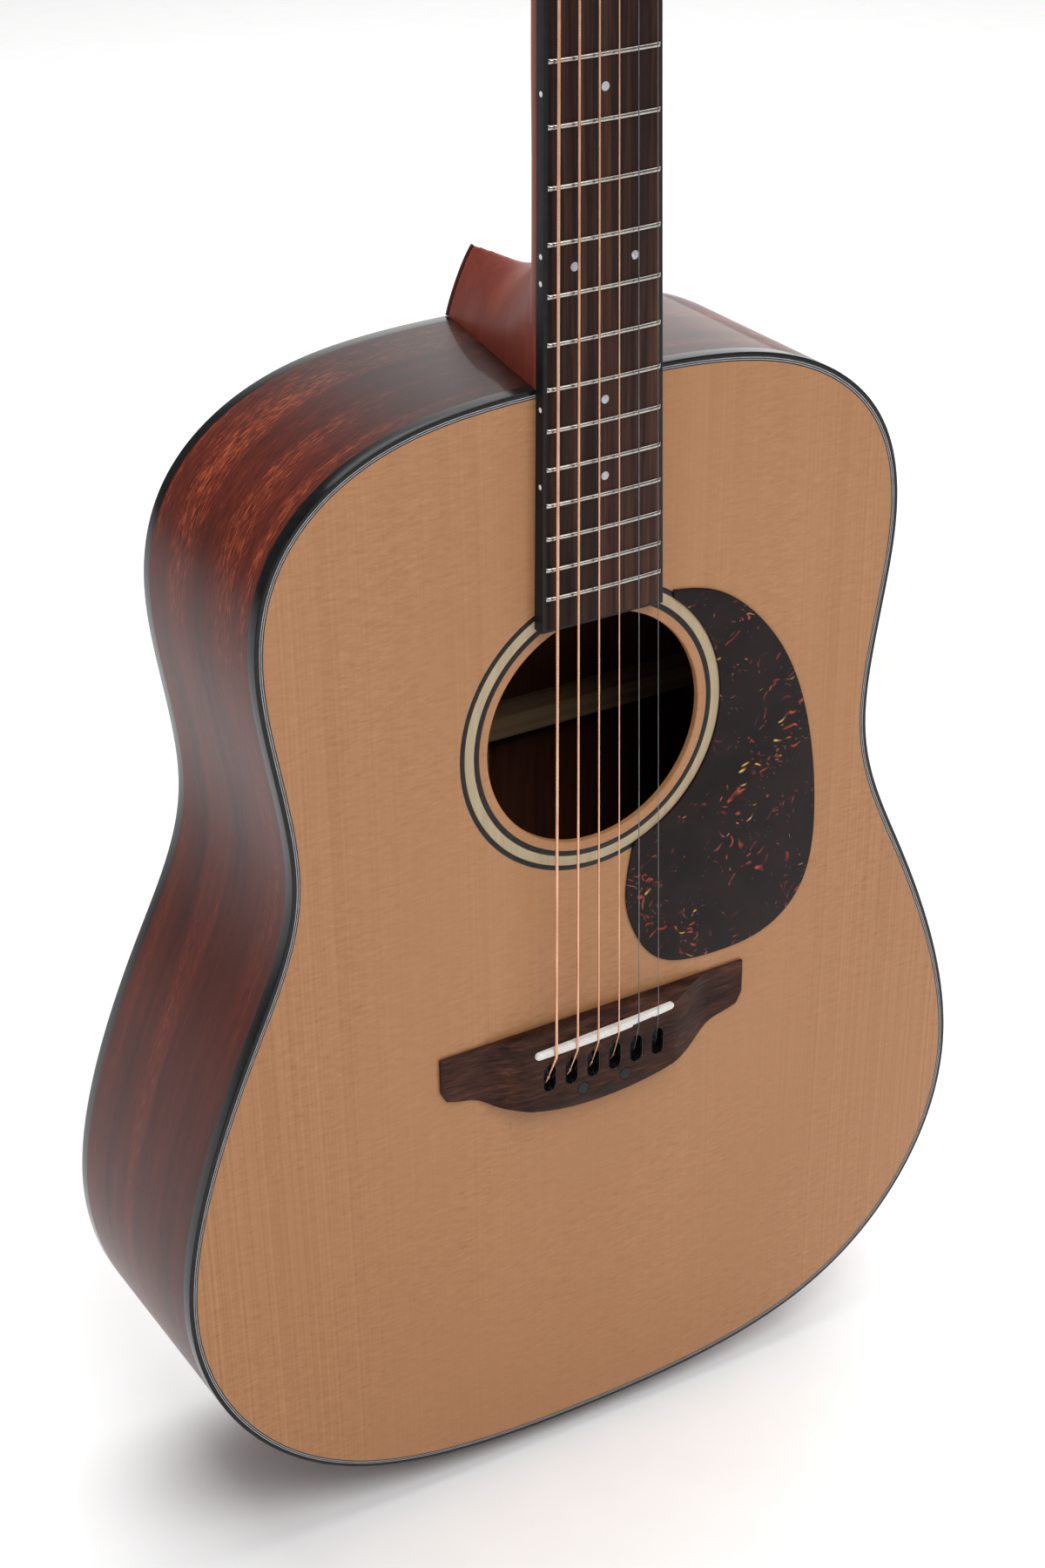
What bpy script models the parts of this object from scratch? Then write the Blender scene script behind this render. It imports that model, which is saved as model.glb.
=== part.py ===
"""Steel-string acoustic guitar with a dreadnought body, built as separate wooden, plastic and metal pieces.

The guitar stands upright. +Z runs from the tail to the head, -Y is the side with the strings, +X is the
treble side. The origin is the centre of the end pin's flat face, the lowest point. Lengths are in metres.
"""

import math

import bmesh
import bpy
import numpy as np
from mathutils import Matrix, Vector

# Driving dimensions
GAP = 0.0003                 # glue line and running clearance between neighbouring pieces
PAST = 0.01                  # how far a cutter reaches past the surface that it cuts
SCALE_LENGTH = 0.644
PIN_REACH = 0.0115           # from the end pin's face to the body
END_PIN_HOLE_RADIUS = 0.0042
BODY_LENGTH = 0.5065
TAIL_DEPTH = 0.1145          # body depth at the tail
HEEL_DEPTH = 0.093           # body depth at the neck
BACK_DOME_RADIUS = 5.0
FRONT_Y = -TAIL_DEPTH / 2    # front face of the soundboard
BODY_REACH = 0.1             # a length to the front and to the back that passes the whole body
JOINT_Z = PIN_REACH + BODY_LENGTH
NUT_Z = JOINT_Z + 0.358
NECK_SLOPE = 0.008           # the neck leans back by this much per unit of height
UP_NECK = Vector((0, NECK_SLOPE, 1)).normalized()

# Half outline of the body from the tail centre to the neck, as (x, height above the tail)
OUTLINE = ((0, 0), (0.1145, 0.0145), (0.1755, 0.0605), (0.1995, 0.140), (0.166, 0.2515), (0.140, 0.324),
           (0.1495, 0.411), (0.1365, 0.466), (0.0885, 0.4985), (0, BODY_LENGTH))
HALF_STATIONS = 34
TOP_THICKNESS = 0.0028
BACK_THICKNESS = 0.0028
SIDE_THICKNESS = 0.0022
BINDING_WIDTH = 0.0019
BINDING_HEIGHT = 0.006
PURFLING_WIDTH = 0.0035
LINING_WIDTH = 0.006
LINING_HEIGHT = 0.014
TENON_WIDTH = 0.018
TENON_DEPTH = 0.070
TENON_LENGTH = 0.0215        # into the body
BLOCK_LENGTH = 0.064         # of the neck block, along the body
BLOCK_WIDTH = 0.069
TAIL_BLOCK = (0.090, 0.020)  # width and thickness
BINDING_STOP = 0.020         # the top binding ends this far from the middle, under the board

HOLE_Z = PIN_REACH + 0.358
HOLE_RADIUS = 0.0506
ROSETTE_INNER = 0.0546
ROSETTE_OUTER = 0.0635

NUT_HALF_WIDTH = 0.02115
JOINT_HALF_WIDTH = 0.02675
BOARD_THICKNESS = 0.006
BOARD_END_Z = HOLE_Z + HOLE_RADIUS + 0.0005
BOARD_CROWN_RADIUS = 0.4
BOARD_EDGING = 0.0015
FRETS = 20
FRET_WIDTH = 0.0021
FRET_HEIGHT = 0.001
NUT_HEIGHT = 0.0018          # above the board
NUT_THICKNESS = 0.0055

BRIDGE_HEIGHT = 0.0085
BRIDGE_TOP_Z = PIN_REACH + 0.2235
SADDLE_LENGTH = 0.071
SADDLE_THICKNESS = 0.0036
SADDLE_HEIGHT = 0.0118       # above the soundboard
SADDLE_TILT = 0.0435         # treble end nearer to the neck
SADDLE_CENTRE_Z = PIN_REACH + 0.2165
SLOT_WIDTH = 0.0065
SLOT_LENGTH = 0.0137
SLOT_DEPTH = 0.006
SLOT_SPACING = 0.0111
SLOT_Z = PIN_REACH + 0.2013
PLUG_RADIUS = 0.0029
PLUG_PLACE = (0.0109, PIN_REACH + 0.1903)

STRING_RADII = (0.00015, 0.0002, 0.0003, 0.0004, 0.00053, 0.00067)   # first to sixth
STRING_SPACING_NUT = 0.0071
STRING_SPACING_SADDLE = 0.0105

HEAD_TILT = math.radians(14)
HEAD_LENGTH = 0.170
HEAD_THICKNESS = 0.0145
VENEER = 0.0015
HEAD_BASE = Vector((0, FRONT_Y + NECK_SLOPE * 0.3645 + 0.0005, NUT_Z + 0.0065))
HEAD_UP = Vector((0, math.sin(HEAD_TILT), math.cos(HEAD_TILT)))
HEAD_NORMAL = Vector((0, -math.cos(HEAD_TILT), math.sin(HEAD_TILT)))
HEAD_FRAME = Matrix((Vector((1, 0, 0)), HEAD_UP, HEAD_NORMAL)).transposed().to_4x4()

TUNER_PLACES = ((0.0205, 0.042), (0.0225, 0.084), (0.0245, 0.126))   # (from the middle, above the nut)
GEAR_TEETH = 14
GEAR_RADIUS = 0.006          # pitch radius
GEAR_THICKNESS = 0.002
GEAR_LEVEL = -0.0052         # behind the headstock's back
WORM_RADIUS = 0.0022         # pitch radius
WORM_TURNS = 3
WORM_SIDES = 10
SHAFT_RADIUS = 0.0014
# Shaft and button as (outwards, half height, half thickness)
BUTTON = ((0.0048, SHAFT_RADIUS, SHAFT_RADIUS), (0.0122, SHAFT_RADIUS, SHAFT_RADIUS),
          (0.0124, 0.003, 0.003), (0.0145, 0.003, 0.003), (0.0160, 0.0065, 0.0036),
          (0.0200, 0.0092, 0.0040), (0.0260, 0.0092, 0.0040), (0.0300, 0.0070, 0.0034),
          (0.0312, 0.0040, 0.0022))
POST_RADIUS = 0.003
BUSH_RADIUS = 0.0047
HOUSING_WALL = 0.0012
HOUSING_REACH = 0.0070       # half width and upper end of the gear case's inside
HOUSING_FLOOR = -0.0089
HOUSING_BEVEL = 0.0014
WORM_ROOM = 0.0032           # from the worm's axis to the case's lower wall
TOOTH_ROOT = 0.0008          # below the pitch circle
TOOTH_TIP = 0.00045          # above the pitch circle
THREAD_ROOT = 0.0007
THREAD_RISE = 0.00125
WORM_INNER_END = -0.0062
BUSH_PROUD = 0.0030          # in front of the headstock
HEXAGON_RADIUS = 0.0064
HEXAGON_PROUD = 0.0024
BORE_ROOM = 0.00045
SHAFT_ROOM = 0.0004
POST_LOW = -0.0085
POST_PROUD = 0.019
WRAP_LEVEL = 0.0105          # where a string meets its post, in front of the headstock
STRING_ANCHOR = 0.0040       # the string's start, in front of the soundboard and below its slot's centre
STRING_RISE = 0.0030

TRUSS_ROD_RADIUS = 0.0025
TRUSS_NUT_RADIUS = 0.004
TRUSS_ROD_DEPTH = 0.0082     # of its axis behind the soundboard's face, at the joint
TRUSS_NUT_Z = BOARD_END_Z + 0.002
TRUSS_NUT_LENGTH = 0.012
ROD_TOP_Z = NUT_Z - 0.012

ALONG_Y = Matrix.Rotation(math.pi / 2, 4, "X")    # turns a flat drawing so that it stands upright


def remove_everything():
    for item in list(bpy.data.objects):
        bpy.data.objects.remove(item, do_unlink=True)
    for mesh in list(bpy.data.meshes):
        bpy.data.meshes.remove(mesh)


def new_collection(name):
    collection = bpy.data.collections.new(name)
    bpy.context.scene.collection.children.link(collection)
    return collection


def material(name, colour, roughness, metallic=0.0):
    made = bpy.data.materials.new(name)
    made.use_nodes = True
    shader = made.node_tree.nodes["Principled BSDF"]
    shader.inputs["Base Color"].default_value = (*colour, 1.0)
    shader.inputs["Roughness"].default_value = roughness
    shader.inputs["Metallic"].default_value = metallic
    return made


# Shape helpers ------------------------------------------------------------------------------------

def place(name, data, finish=None, origin=None):
    """Put a mesh or curve in the scene: with a finish it is a part, without one it is a cutter."""
    item = bpy.data.objects.new(name, data)
    if origin is not None:
        data.transform(Matrix.Translation(-origin))
        item.location = origin
    if finish is None:
        cutters.objects.link(item)
        item.hide_render = True
        item.display_type = "WIRE"
    else:
        guitar.objects.link(item)
        data.materials.append(finishes[finish])
    return item


def mesh_from(build, name):
    work = bmesh.new()
    build(work)
    bmesh.ops.recalc_face_normals(work, faces=work.faces)
    mesh = bpy.data.meshes.new(name)
    work.to_mesh(mesh)
    work.free()
    return mesh


def box(name, low, high, finish=None, frame=Matrix()):
    low, high = Vector(low), Vector(high)
    size = Matrix.Diagonal((high - low).to_4d())
    size[3][3] = 1
    matrix = frame @ Matrix.Translation((low + high) / 2) @ size

    def build(work):
        bmesh.ops.create_cube(work, size=1, matrix=matrix)
    return place(name, mesh_from(build, name), finish)


def cylinder(name, radius, low, high, sides, finish=None, frame=Matrix(), origin=None):
    """A round bar along the frame's Z axis, from low to high."""
    matrix = frame @ Matrix.Translation((0, 0, (low + high) / 2))

    def build(work):
        bmesh.ops.create_cone(work, cap_ends=True, segments=sides, radius1=radius, radius2=radius,
                              depth=high - low, matrix=matrix)
    return place(name, mesh_from(build, name), finish, origin)


def loft(name, rings, finish=None, origin=None):
    """Join closed rings of equally many points, and cap the two ends."""
    def build(work):
        rows = [[work.verts.new(point) for point in ring] for ring in rings]
        count = len(rows[0])
        for lower, upper in zip(rows, rows[1:]):
            for i in range(count):
                j = (i + 1) % count
                work.faces.new((lower[i], lower[j], upper[j], upper[i]))
        work.faces.new(rows[0])
        work.faces.new(rows[-1])
    return place(name, mesh_from(build, name), finish, origin)


def solid_mesh(item):
    """The evaluated, welded mesh of an object; the object itself is removed."""
    graph = bpy.context.evaluated_depsgraph_get()
    mesh = bpy.data.meshes.new_from_object(item.evaluated_get(graph))
    mesh.transform(item.matrix_world)
    bpy.data.objects.remove(item, do_unlink=True)
    work = bmesh.new()
    work.from_mesh(mesh)
    bmesh.ops.remove_doubles(work, verts=work.verts, dist=1e-6)
    bmesh.ops.recalc_face_normals(work, faces=work.faces)
    work.to_mesh(mesh)
    work.free()
    mesh.materials.clear()
    return mesh


def prism(name, loops, low, high, finish=None, frame=Matrix()):
    """Flat outlines in the frame's XY plane, filled between them and given thickness along Z."""
    drawing = bpy.data.curves.new(name, "CURVE")
    drawing.dimensions = "2D"
    drawing.fill_mode = "BOTH"
    drawing.extrude = (high - low) / 2
    for loop in loops:
        line = drawing.splines.new("POLY")
        line.points.add(len(loop) - 1)
        line.use_cyclic_u = True
        for point, (x, y) in zip(line.points, loop):
            point.co = (x, y, 0, 1)
    item = bpy.data.objects.new(name, drawing)
    bpy.context.scene.collection.objects.link(item)
    item.matrix_world = frame @ Matrix.Translation((0, 0, (low + high) / 2))
    bpy.context.view_layer.update()
    mesh = solid_mesh(item)
    bpy.data.curves.remove(drawing)
    return place(name, mesh, finish)


def plate(name, loops, front, thickness, finish=None):
    """An upright flat piece: outlines in (x, z), its front face at y = front."""
    return prism(name, loops, -front - thickness, -front, finish, ALONG_Y)


def tube(name, points, radius, finish):
    line = bpy.data.curves.new(name, "CURVE")
    line.dimensions = "3D"
    line.bevel_depth = radius
    line.bevel_resolution = 0
    line.use_fill_caps = True
    run = line.splines.new("POLY")
    run.points.add(len(points) - 1)
    for point, place_at in zip(run.points, points):
        point.co = (*place_at, 1)
    return place(name, line, finish)


def boolean(item, tool, operation="DIFFERENCE"):
    step = item.modifiers.new(tool.name, "BOOLEAN")
    step.operation = operation
    step.object = tool
    step.solver = "EXACT"


def apply_modifiers(item):
    """Turn an object and its modifiers into a plain mesh object of the same name."""
    bpy.context.view_layer.update()
    graph = bpy.context.evaluated_depsgraph_get()
    mesh = bpy.data.meshes.new_from_object(item.evaluated_get(graph))
    item.modifiers.clear()
    item.data = mesh
    return item


def smooth_curve(points, per_span, closed):
    """A cubic spline through the points, with centripetal spacing so that it does not overshoot."""
    points = np.array(points, dtype=float)
    spans = len(points) if closed else len(points) - 1
    ends = np.roll(points, -1, axis=0)[:spans]
    starts = points[:spans]
    step = np.sqrt(np.linalg.norm(ends - starts, axis=1))
    slope = (ends - starts) / step[:, None]
    system = np.eye(len(points))
    right = np.zeros_like(points)
    for i in range(0 if closed else 1, spans):
        before, after = step[i - 1], step[i]
        system[i] = 0
        system[i][i - 1] = before
        system[i][i] = 2 * (before + after)
        system[i][(i + 1) % len(points)] = after
        right[i] = 6 * (slope[i] - slope[i - 1])
    bend = np.linalg.solve(system, right)
    curve = []
    for i in range(spans):
        j = (i + 1) % len(points)
        for t in np.arange(per_span) / per_span:
            cubic = ((1 - t) ** 3 - (1 - t)) * bend[i] + (t ** 3 - t) * bend[j]
            curve.append((1 - t) * points[i] + t * points[j] + step[i] ** 2 / 6 * cubic)
    if not closed:
        curve.append(points[-1])
    return np.array(curve)


def circle(radius, centre=(0, 0), count=48, start=0.0):
    angles = [start + 2 * math.pi * i / count for i in range(count)]
    return [(centre[0] + radius * math.cos(a), centre[1] + radius * math.sin(a)) for a in angles]


def stadium(width, length, centre=(0, 0), count=6):
    """A slot outline standing upright: two half circles joined by straight sides."""
    radius, rise = width / 2, (length - width) / 2
    half = [math.pi * i / count for i in range(count + 1)]
    top = [(centre[0] + radius * math.cos(a), centre[1] + rise + radius * math.sin(a)) for a in half]
    low = [(centre[0] - radius * math.cos(a), centre[1] - rise - radius * math.sin(a)) for a in half]
    return top + low


# The body's outline -------------------------------------------------------------------------------

def measure_outline():
    """Half outline from the tail to the neck as rows of arc length, x, z and the outward normal."""
    lower = [(-x, z) for x, z in OUTLINE[-2:0:-1]]
    per_span = 40
    whole = smooth_curve(list(OUTLINE) + lower, per_span, closed=True)
    ahead = np.roll(whole, -1, axis=0) - np.roll(whole, 1, axis=0)
    ahead /= np.linalg.norm(ahead, axis=1)[:, None]
    count = (len(OUTLINE) - 1) * per_span + 1
    half, ahead = whole[:count], ahead[:count]
    along = np.append(0, np.cumsum(np.linalg.norm(np.diff(half, axis=0), axis=1)))
    return np.column_stack((along, half[:, 0], half[:, 1] + PIN_REACH, ahead[:, 1], -ahead[:, 0]))


def edge_point(along, inset=0.0):
    """(x, z) on the body's edge, moved inwards. along < 0 is the bass side, 0 the tail's centre."""
    x, z, out_x, out_z = (np.interp(abs(along), edge[:, 0], edge[:, k]) for k in range(1, 5))
    x = x - inset * out_x
    return (math.copysign(x, along), z - inset * out_z)


def stations(start, end):
    """Shared places along the edge between start and end, so that neighbours have the same facets."""
    half = edge[-1, 0]
    shared = [half * i / HALF_STATIONS for i in range(-HALF_STATIONS, HALF_STATIONS + 1)]
    return [start] + [s for s in shared if start + 0.001 < s < end - 0.001] + [end]


def edge_loop(inset):
    half = edge[-1, 0]
    return [edge_point(half * i / HALF_STATIONS, inset) for i in range(-HALF_STATIONS, HALF_STATIONS)]


def edge_depth(z):
    """Depth of the body's side at a height."""
    along = (z - PIN_REACH) / BODY_LENGTH
    return HEEL_DEPTH + (TAIL_DEPTH - HEEL_DEPTH) * (1 - along ** 2)


def from_front(depth):
    return lambda z: FRONT_Y + depth


def from_back(depth):
    return lambda z: FRONT_Y + edge_depth(z) - depth


def rail(name, section, start, end, finish=None):
    """Sweep a section of (inset, level) corners along the edge; a level gives y at a height."""
    rings = []
    for along in stations(start, end):
        places = [edge_point(along, inset) for inset, _ in section]
        rings.append([(x, level(z), z) for (x, z), (_, level) in zip(places, section)])
    return loft(name, rings, finish)


def bowl(name, inset, front, back, finish=None, columns=4):
    """A solid inside the outline whose front and back levels follow the height and the dome."""
    half = edge[-1, 0]
    rows = [edge_point(half * i / HALF_STATIONS, inset) for i in range(1, HALF_STATIONS)]
    shares = [2 * c / columns - 1 for c in range(columns + 1)]
    rings = []
    for width, z in rows:
        ahead = [(width * share, front(width * share, width, z), z) for share in shares]
        behind = [(width * share, back(width * share, width, z), z) for share in reversed(shares)]
        rings.append(ahead + behind)
    return loft(name, rings, finish)


def dome(depth):
    """The back's level, depth in front of its outer face."""
    def level(x, width, z):
        return FRONT_Y + edge_depth(z) - depth + (width ** 2 - x ** 2) / (2 * BACK_DOME_RADIUS)
    return level


# Soundbox -----------------------------------------------------------------------------------------

def make_soundboard():
    loops = [edge_loop(PURFLING_WIDTH + GAP), circle(HOLE_RADIUS, (0, HOLE_Z))]
    board = plate("soundboard", loops, FRONT_Y, TOP_THICKNESS, "spruce")
    ring = [circle(ROSETTE_OUTER + GAP, (0, HOLE_Z)), circle(ROSETTE_INNER - GAP, (0, HOLE_Z))]
    groove_depth = 0.0012
    boolean(board, plate("rosette_groove", ring, FRONT_Y - PAST, PAST + groove_depth))
    ring = [circle(ROSETTE_OUTER, (0, HOLE_Z)), circle(ROSETTE_INNER, (0, HOLE_Z))]
    plate("rosette", ring, FRONT_Y, groove_depth - GAP, "cream_inlay")


def make_back():
    facet_room = 0.0001
    bowl("back_plate", BINDING_WIDTH + facet_room + GAP, dome(BACK_THICKNESS), dome(0), "mahogany")


def make_sides():
    half = edge[-1, 0]
    top_end = half - TENON_WIDTH / 2 - GAP
    near, far = from_front(BINDING_HEIGHT + GAP), from_back(BINDING_HEIGHT)
    section = [(0, near), (0, far), (SIDE_THICKNESS, far), (SIDE_THICKNESS, near)]
    treble = rail("side_treble", section, GAP / 2, top_end, "mahogany")
    bass = rail("side_bass", section, -top_end, -GAP / 2, "mahogany")
    for side in (treble, bass):
        boolean(side, end_pin_hole)


def make_bindings():
    half = edge[-1, 0]
    foot = TOP_THICKNESS - 0.0002
    section = [(0, from_front(0)), (PURFLING_WIDTH, from_front(0)), (PURFLING_WIDTH, from_front(foot)),
               (BINDING_WIDTH, from_front(foot)), (BINDING_WIDTH, from_front(BINDING_HEIGHT)),
               (0, from_front(BINDING_HEIGHT))]
    rail("binding_top", section, BINDING_STOP - half, half - BINDING_STOP, "black_binding")
    back_height = BINDING_HEIGHT - GAP
    section = [(0, from_back(back_height)), (BINDING_WIDTH, from_back(back_height)),
               (BINDING_WIDTH, from_back(0)), (0, from_back(0))]
    tail_gap = 0.0002
    rail("binding_back", section, tail_gap - half, half - tail_gap, "black_binding")


def lining_section(level, start, grow=0.0):
    inner = SIDE_THICKNESS + GAP - grow
    near, far = level(start - grow), level(start + LINING_HEIGHT + grow)
    outer = SIDE_THICKNESS + GAP + LINING_WIDTH + grow
    slim = SIDE_THICKNESS + GAP + LINING_WIDTH / 3
    return [(inner, near), (outer, near), (slim, far), (inner, far)]


def make_linings():
    reach = edge[-1, 0] - BLOCK_WIDTH / 2 - 0.0015
    past_block = 0.08
    for name, level, start in (("lining_top", from_front, TOP_THICKNESS + GAP),
                               ("lining_back", from_back, BACK_THICKNESS + GAP)):
        rail(name, lining_section(level, start), -reach, reach, "spruce_inside")
        rail(name + "_notch", lining_section(level, start, GAP), -past_block, past_block)


def make_blocks():
    width, thickness = TAIL_BLOCK
    tail = box("tail_block", (-width / 2, -BODY_REACH, PIN_REACH),
               (width / 2, BODY_REACH, PIN_REACH + thickness), "mahogany_inside")
    boolean(tail, cavity, "INTERSECT")
    boolean(tail, bpy.data.objects["lining_top_notch"])
    boolean(tail, bpy.data.objects["lining_back_notch"])
    boolean(tail, end_pin_hole)
    block = box("neck_block", (-BLOCK_WIDTH / 2, -BODY_REACH, JOINT_Z - BLOCK_LENGTH),
                (BLOCK_WIDTH / 2, BODY_REACH, JOINT_Z), "mahogany_inside")
    boolean(block, cavity, "INTERSECT")
    half_tenon, floor_room = TENON_WIDTH / 2 + GAP, 0.001
    deep = FRONT_Y + TOP_THICKNESS + TENON_DEPTH + 2 * floor_room
    mortise = box("mortise", (-half_tenon, -BODY_REACH, JOINT_Z - TENON_LENGTH - floor_room),
                  (half_tenon, deep, JOINT_Z + PAST))
    boolean(block, mortise)
    boolean(block, truss_channel)


def bar_frame(place_at, angle, rise, front):
    """X along a bar that lies across the body, Y along its height."""
    direction = Vector((math.cos(angle), 0, math.sin(angle)))
    frame = Matrix((direction, rise, direction.cross(rise))).transposed().to_4x4()
    frame.translation = Vector((place_at[0], front, place_at[1]))
    return frame


def brace(name, place_at, angle, length, heights, front, finish, width, on_back=False):
    """A bar on the soundboard or the back; heights are its heights at equal steps along it."""
    steps = len(heights) - 1
    spine = [(length * (i / steps - 0.5), h) for i, h in enumerate(heights)]
    base = -PAST if on_back else 0
    outline = [(-length / 2, base)] + spine + [(length / 2, base)]
    rise = Vector((0, -1 if on_back else 1, 0))
    return prism(name, [outline], -width / 2, width / 2, finish, bar_frame(place_at, angle, rise, front))


def make_top_bracing():
    inside = FRONT_Y + TOP_THICKNESS + GAP
    crossing = (0, PIN_REACH + 0.264)
    lean, width, lap, room = math.radians(41), 0.008, 0.0075, 0.03
    scallop = (0.002, 0.005, 0.012, 0.009, 0.012, 0.015, 0.015, 0.015, 0.012, 0.006, 0.002)
    for name, angle, low, high in (("x_brace_bass", lean, lap - GAP, room),
                                   ("x_brace_treble", math.pi - lean, -PAST, lap + GAP)):
        bar = brace(name, crossing, angle, 0.47, scallop, inside, "spruce_inside", width)
        boolean(bar, between_linings, "INTERSECT")
        other = bar_frame(crossing, math.pi - angle, Vector((0, 1, 0)), inside)
        half = width / 2 + GAP
        boolean(bar, box(name + "_lap", (-room, low, -half), (room, high, half), frame=other))
    tone = (0.002, 0.007, 0.0095, 0.0095, 0.007, 0.002)
    slant = math.radians(24)
    for name, z, length in (("tone_bar_upper", 0.142, 0.16), ("tone_bar_lower", 0.094, 0.18)):
        bar = brace(name, (0.004, PIN_REACH + z), slant, length, tone, inside, "spruce_inside", 0.006)
        boolean(bar, between_linings, "INTERSECT")
    heights = (0.003, 0.010, 0.013, 0.013, 0.013, 0.010, 0.003)
    upper_place = (0, TRUSS_NUT_Z + TRUSS_NUT_LENGTH + 0.006)
    upper = brace("upper_brace", upper_place, 0, 0.28, heights, inside, "spruce_inside", 0.009)
    boolean(upper, between_linings, "INTERSECT")
    boolean(upper, truss_channel)
    patch = [(-0.030, 0.231), (-0.073, 0.191), (0.073, 0.191), (0.030, 0.231)]
    patch = [(x, z + PIN_REACH) for x, z in patch]
    plate("bridge_plate", [patch], inside, 0.0026, "maple_inside")


def make_back_bracing():
    strip_half, strip_thickness, inset = 0.010, 0.002, 0.003
    low, high = PIN_REACH + 0.030, JOINT_Z - BLOCK_LENGTH - 0.006
    strip = box("back_centre_strip", (-strip_half, 0, low), (strip_half, BODY_REACH, high), "spruce_inside")
    level = BACK_THICKNESS + GAP
    thin = bowl("centre_strip_level", inset, dome(level + strip_thickness), dome(level), columns=8)
    boolean(strip, thin, "INTERSECT")
    notch = bowl("centre_strip_notch", inset, dome(level + GAP + strip_thickness), dome(-PAST), columns=8)
    over_strip = box("over_centre_strip", (-strip_half - GAP, 0, 0), (strip_half + GAP, BODY_REACH, JOINT_Z))
    boolean(over_strip, notch, "INTERSECT")
    places = ((0.085, 0.012, 0.018), (0.195, 0.012, 0.018), (0.318, 0.014, 0.010), (0.415, 0.014, 0.010))
    end = 0.004
    for number, (up, height, width) in enumerate(places, start=1):
        z = PIN_REACH + up
        front = FRONT_Y + edge_depth(z) - BACK_THICKNESS
        heights = (end, height * 0.9, height, height, height, height * 0.9, end)
        bar = brace(f"back_brace_{number}", (0, z), 0, 0.40, heights, front, "spruce_inside", width,
                    on_back=True)
        boolean(bar, between_linings, "INTERSECT")
        boolean(bar, over_strip)


def make_pickguard():
    """A teardrop sheet beside the soundhole; its inner edge follows the rosette."""
    shape = ((0.0368, 0.4105), (0.061, 0.404), (0.0905, 0.3755), (0.107, 0.337), (0.1135, 0.293),
             (0.109, 0.2545), (0.090, 0.236), (0.060, 0.232), (0.032, 0.239), (0.018, 0.261),
             (0.0155, 0.277), (0.0186, 0.2975))
    rim = [(x, z + PIN_REACH) for x, z in smooth_curve(shape, 4, closed=False)]
    radius = ROSETTE_OUTER + GAP
    first = math.atan2(rim[-1][1] - HOLE_Z, rim[-1][0])
    last = math.atan2(rim[0][1] - HOLE_Z, rim[0][0])
    arc = [first + (last - first) * i / 18 for i in range(1, 18)]
    rim += [(radius * math.cos(a), HOLE_Z + radius * math.sin(a)) for a in arc]
    thickness = 0.001
    plate("pickguard", [rim], FRONT_Y - GAP - thickness, thickness, "tortoise")


def make_end_pin():
    profile = ((0, 0.031), (0.0034, 0.031), (0.0038, PIN_REACH - GAP), (0.0068, PIN_REACH - GAP),
               (0.0068, 0.0098), (0.0042, 0.0085), (0.0042, 0.0055), (0.0068, 0.0038), (0.0068, 0.0015),
               (0.0058, 0), (0, 0))

    def build(work):
        rim = [work.verts.new((x, 0, z)) for x, z in profile]
        for a, b in zip(rim, rim[1:]):
            work.edges.new((a, b))
    pin = place("end_pin", mesh_from(build, "end_pin"), "black_plastic")
    turn = pin.modifiers.new("turn", "SCREW")
    turn.axis = "Z"
    turn.steps = turn.render_steps = 20
    turn.use_merge_vertices = True
    turn.merge_threshold = 1e-5


# Bridge -------------------------------------------------------------------------------------------

def bridge_outline():
    belly = [(-0.0747, 0.2014), (-0.0690, 0.1997), (-0.0620, 0.1982), (-0.0560, 0.1944), (-0.0480, 0.1886),
             (-0.0400, 0.1853), (-0.0280, 0.1819), (-0.0140, 0.1800), (0, 0.1792)]
    belly += [(-x, z) for x, z in reversed(belly[:-1])]
    lower = [(x, z + PIN_REACH) for x, z in smooth_curve(belly, 2, closed=False)]
    tip, corner = 0.0775, PIN_REACH + 0.2070
    return lower + [(tip, corner), (tip, BRIDGE_TOP_Z), (-tip, BRIDGE_TOP_Z), (-tip, corner)]


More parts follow.
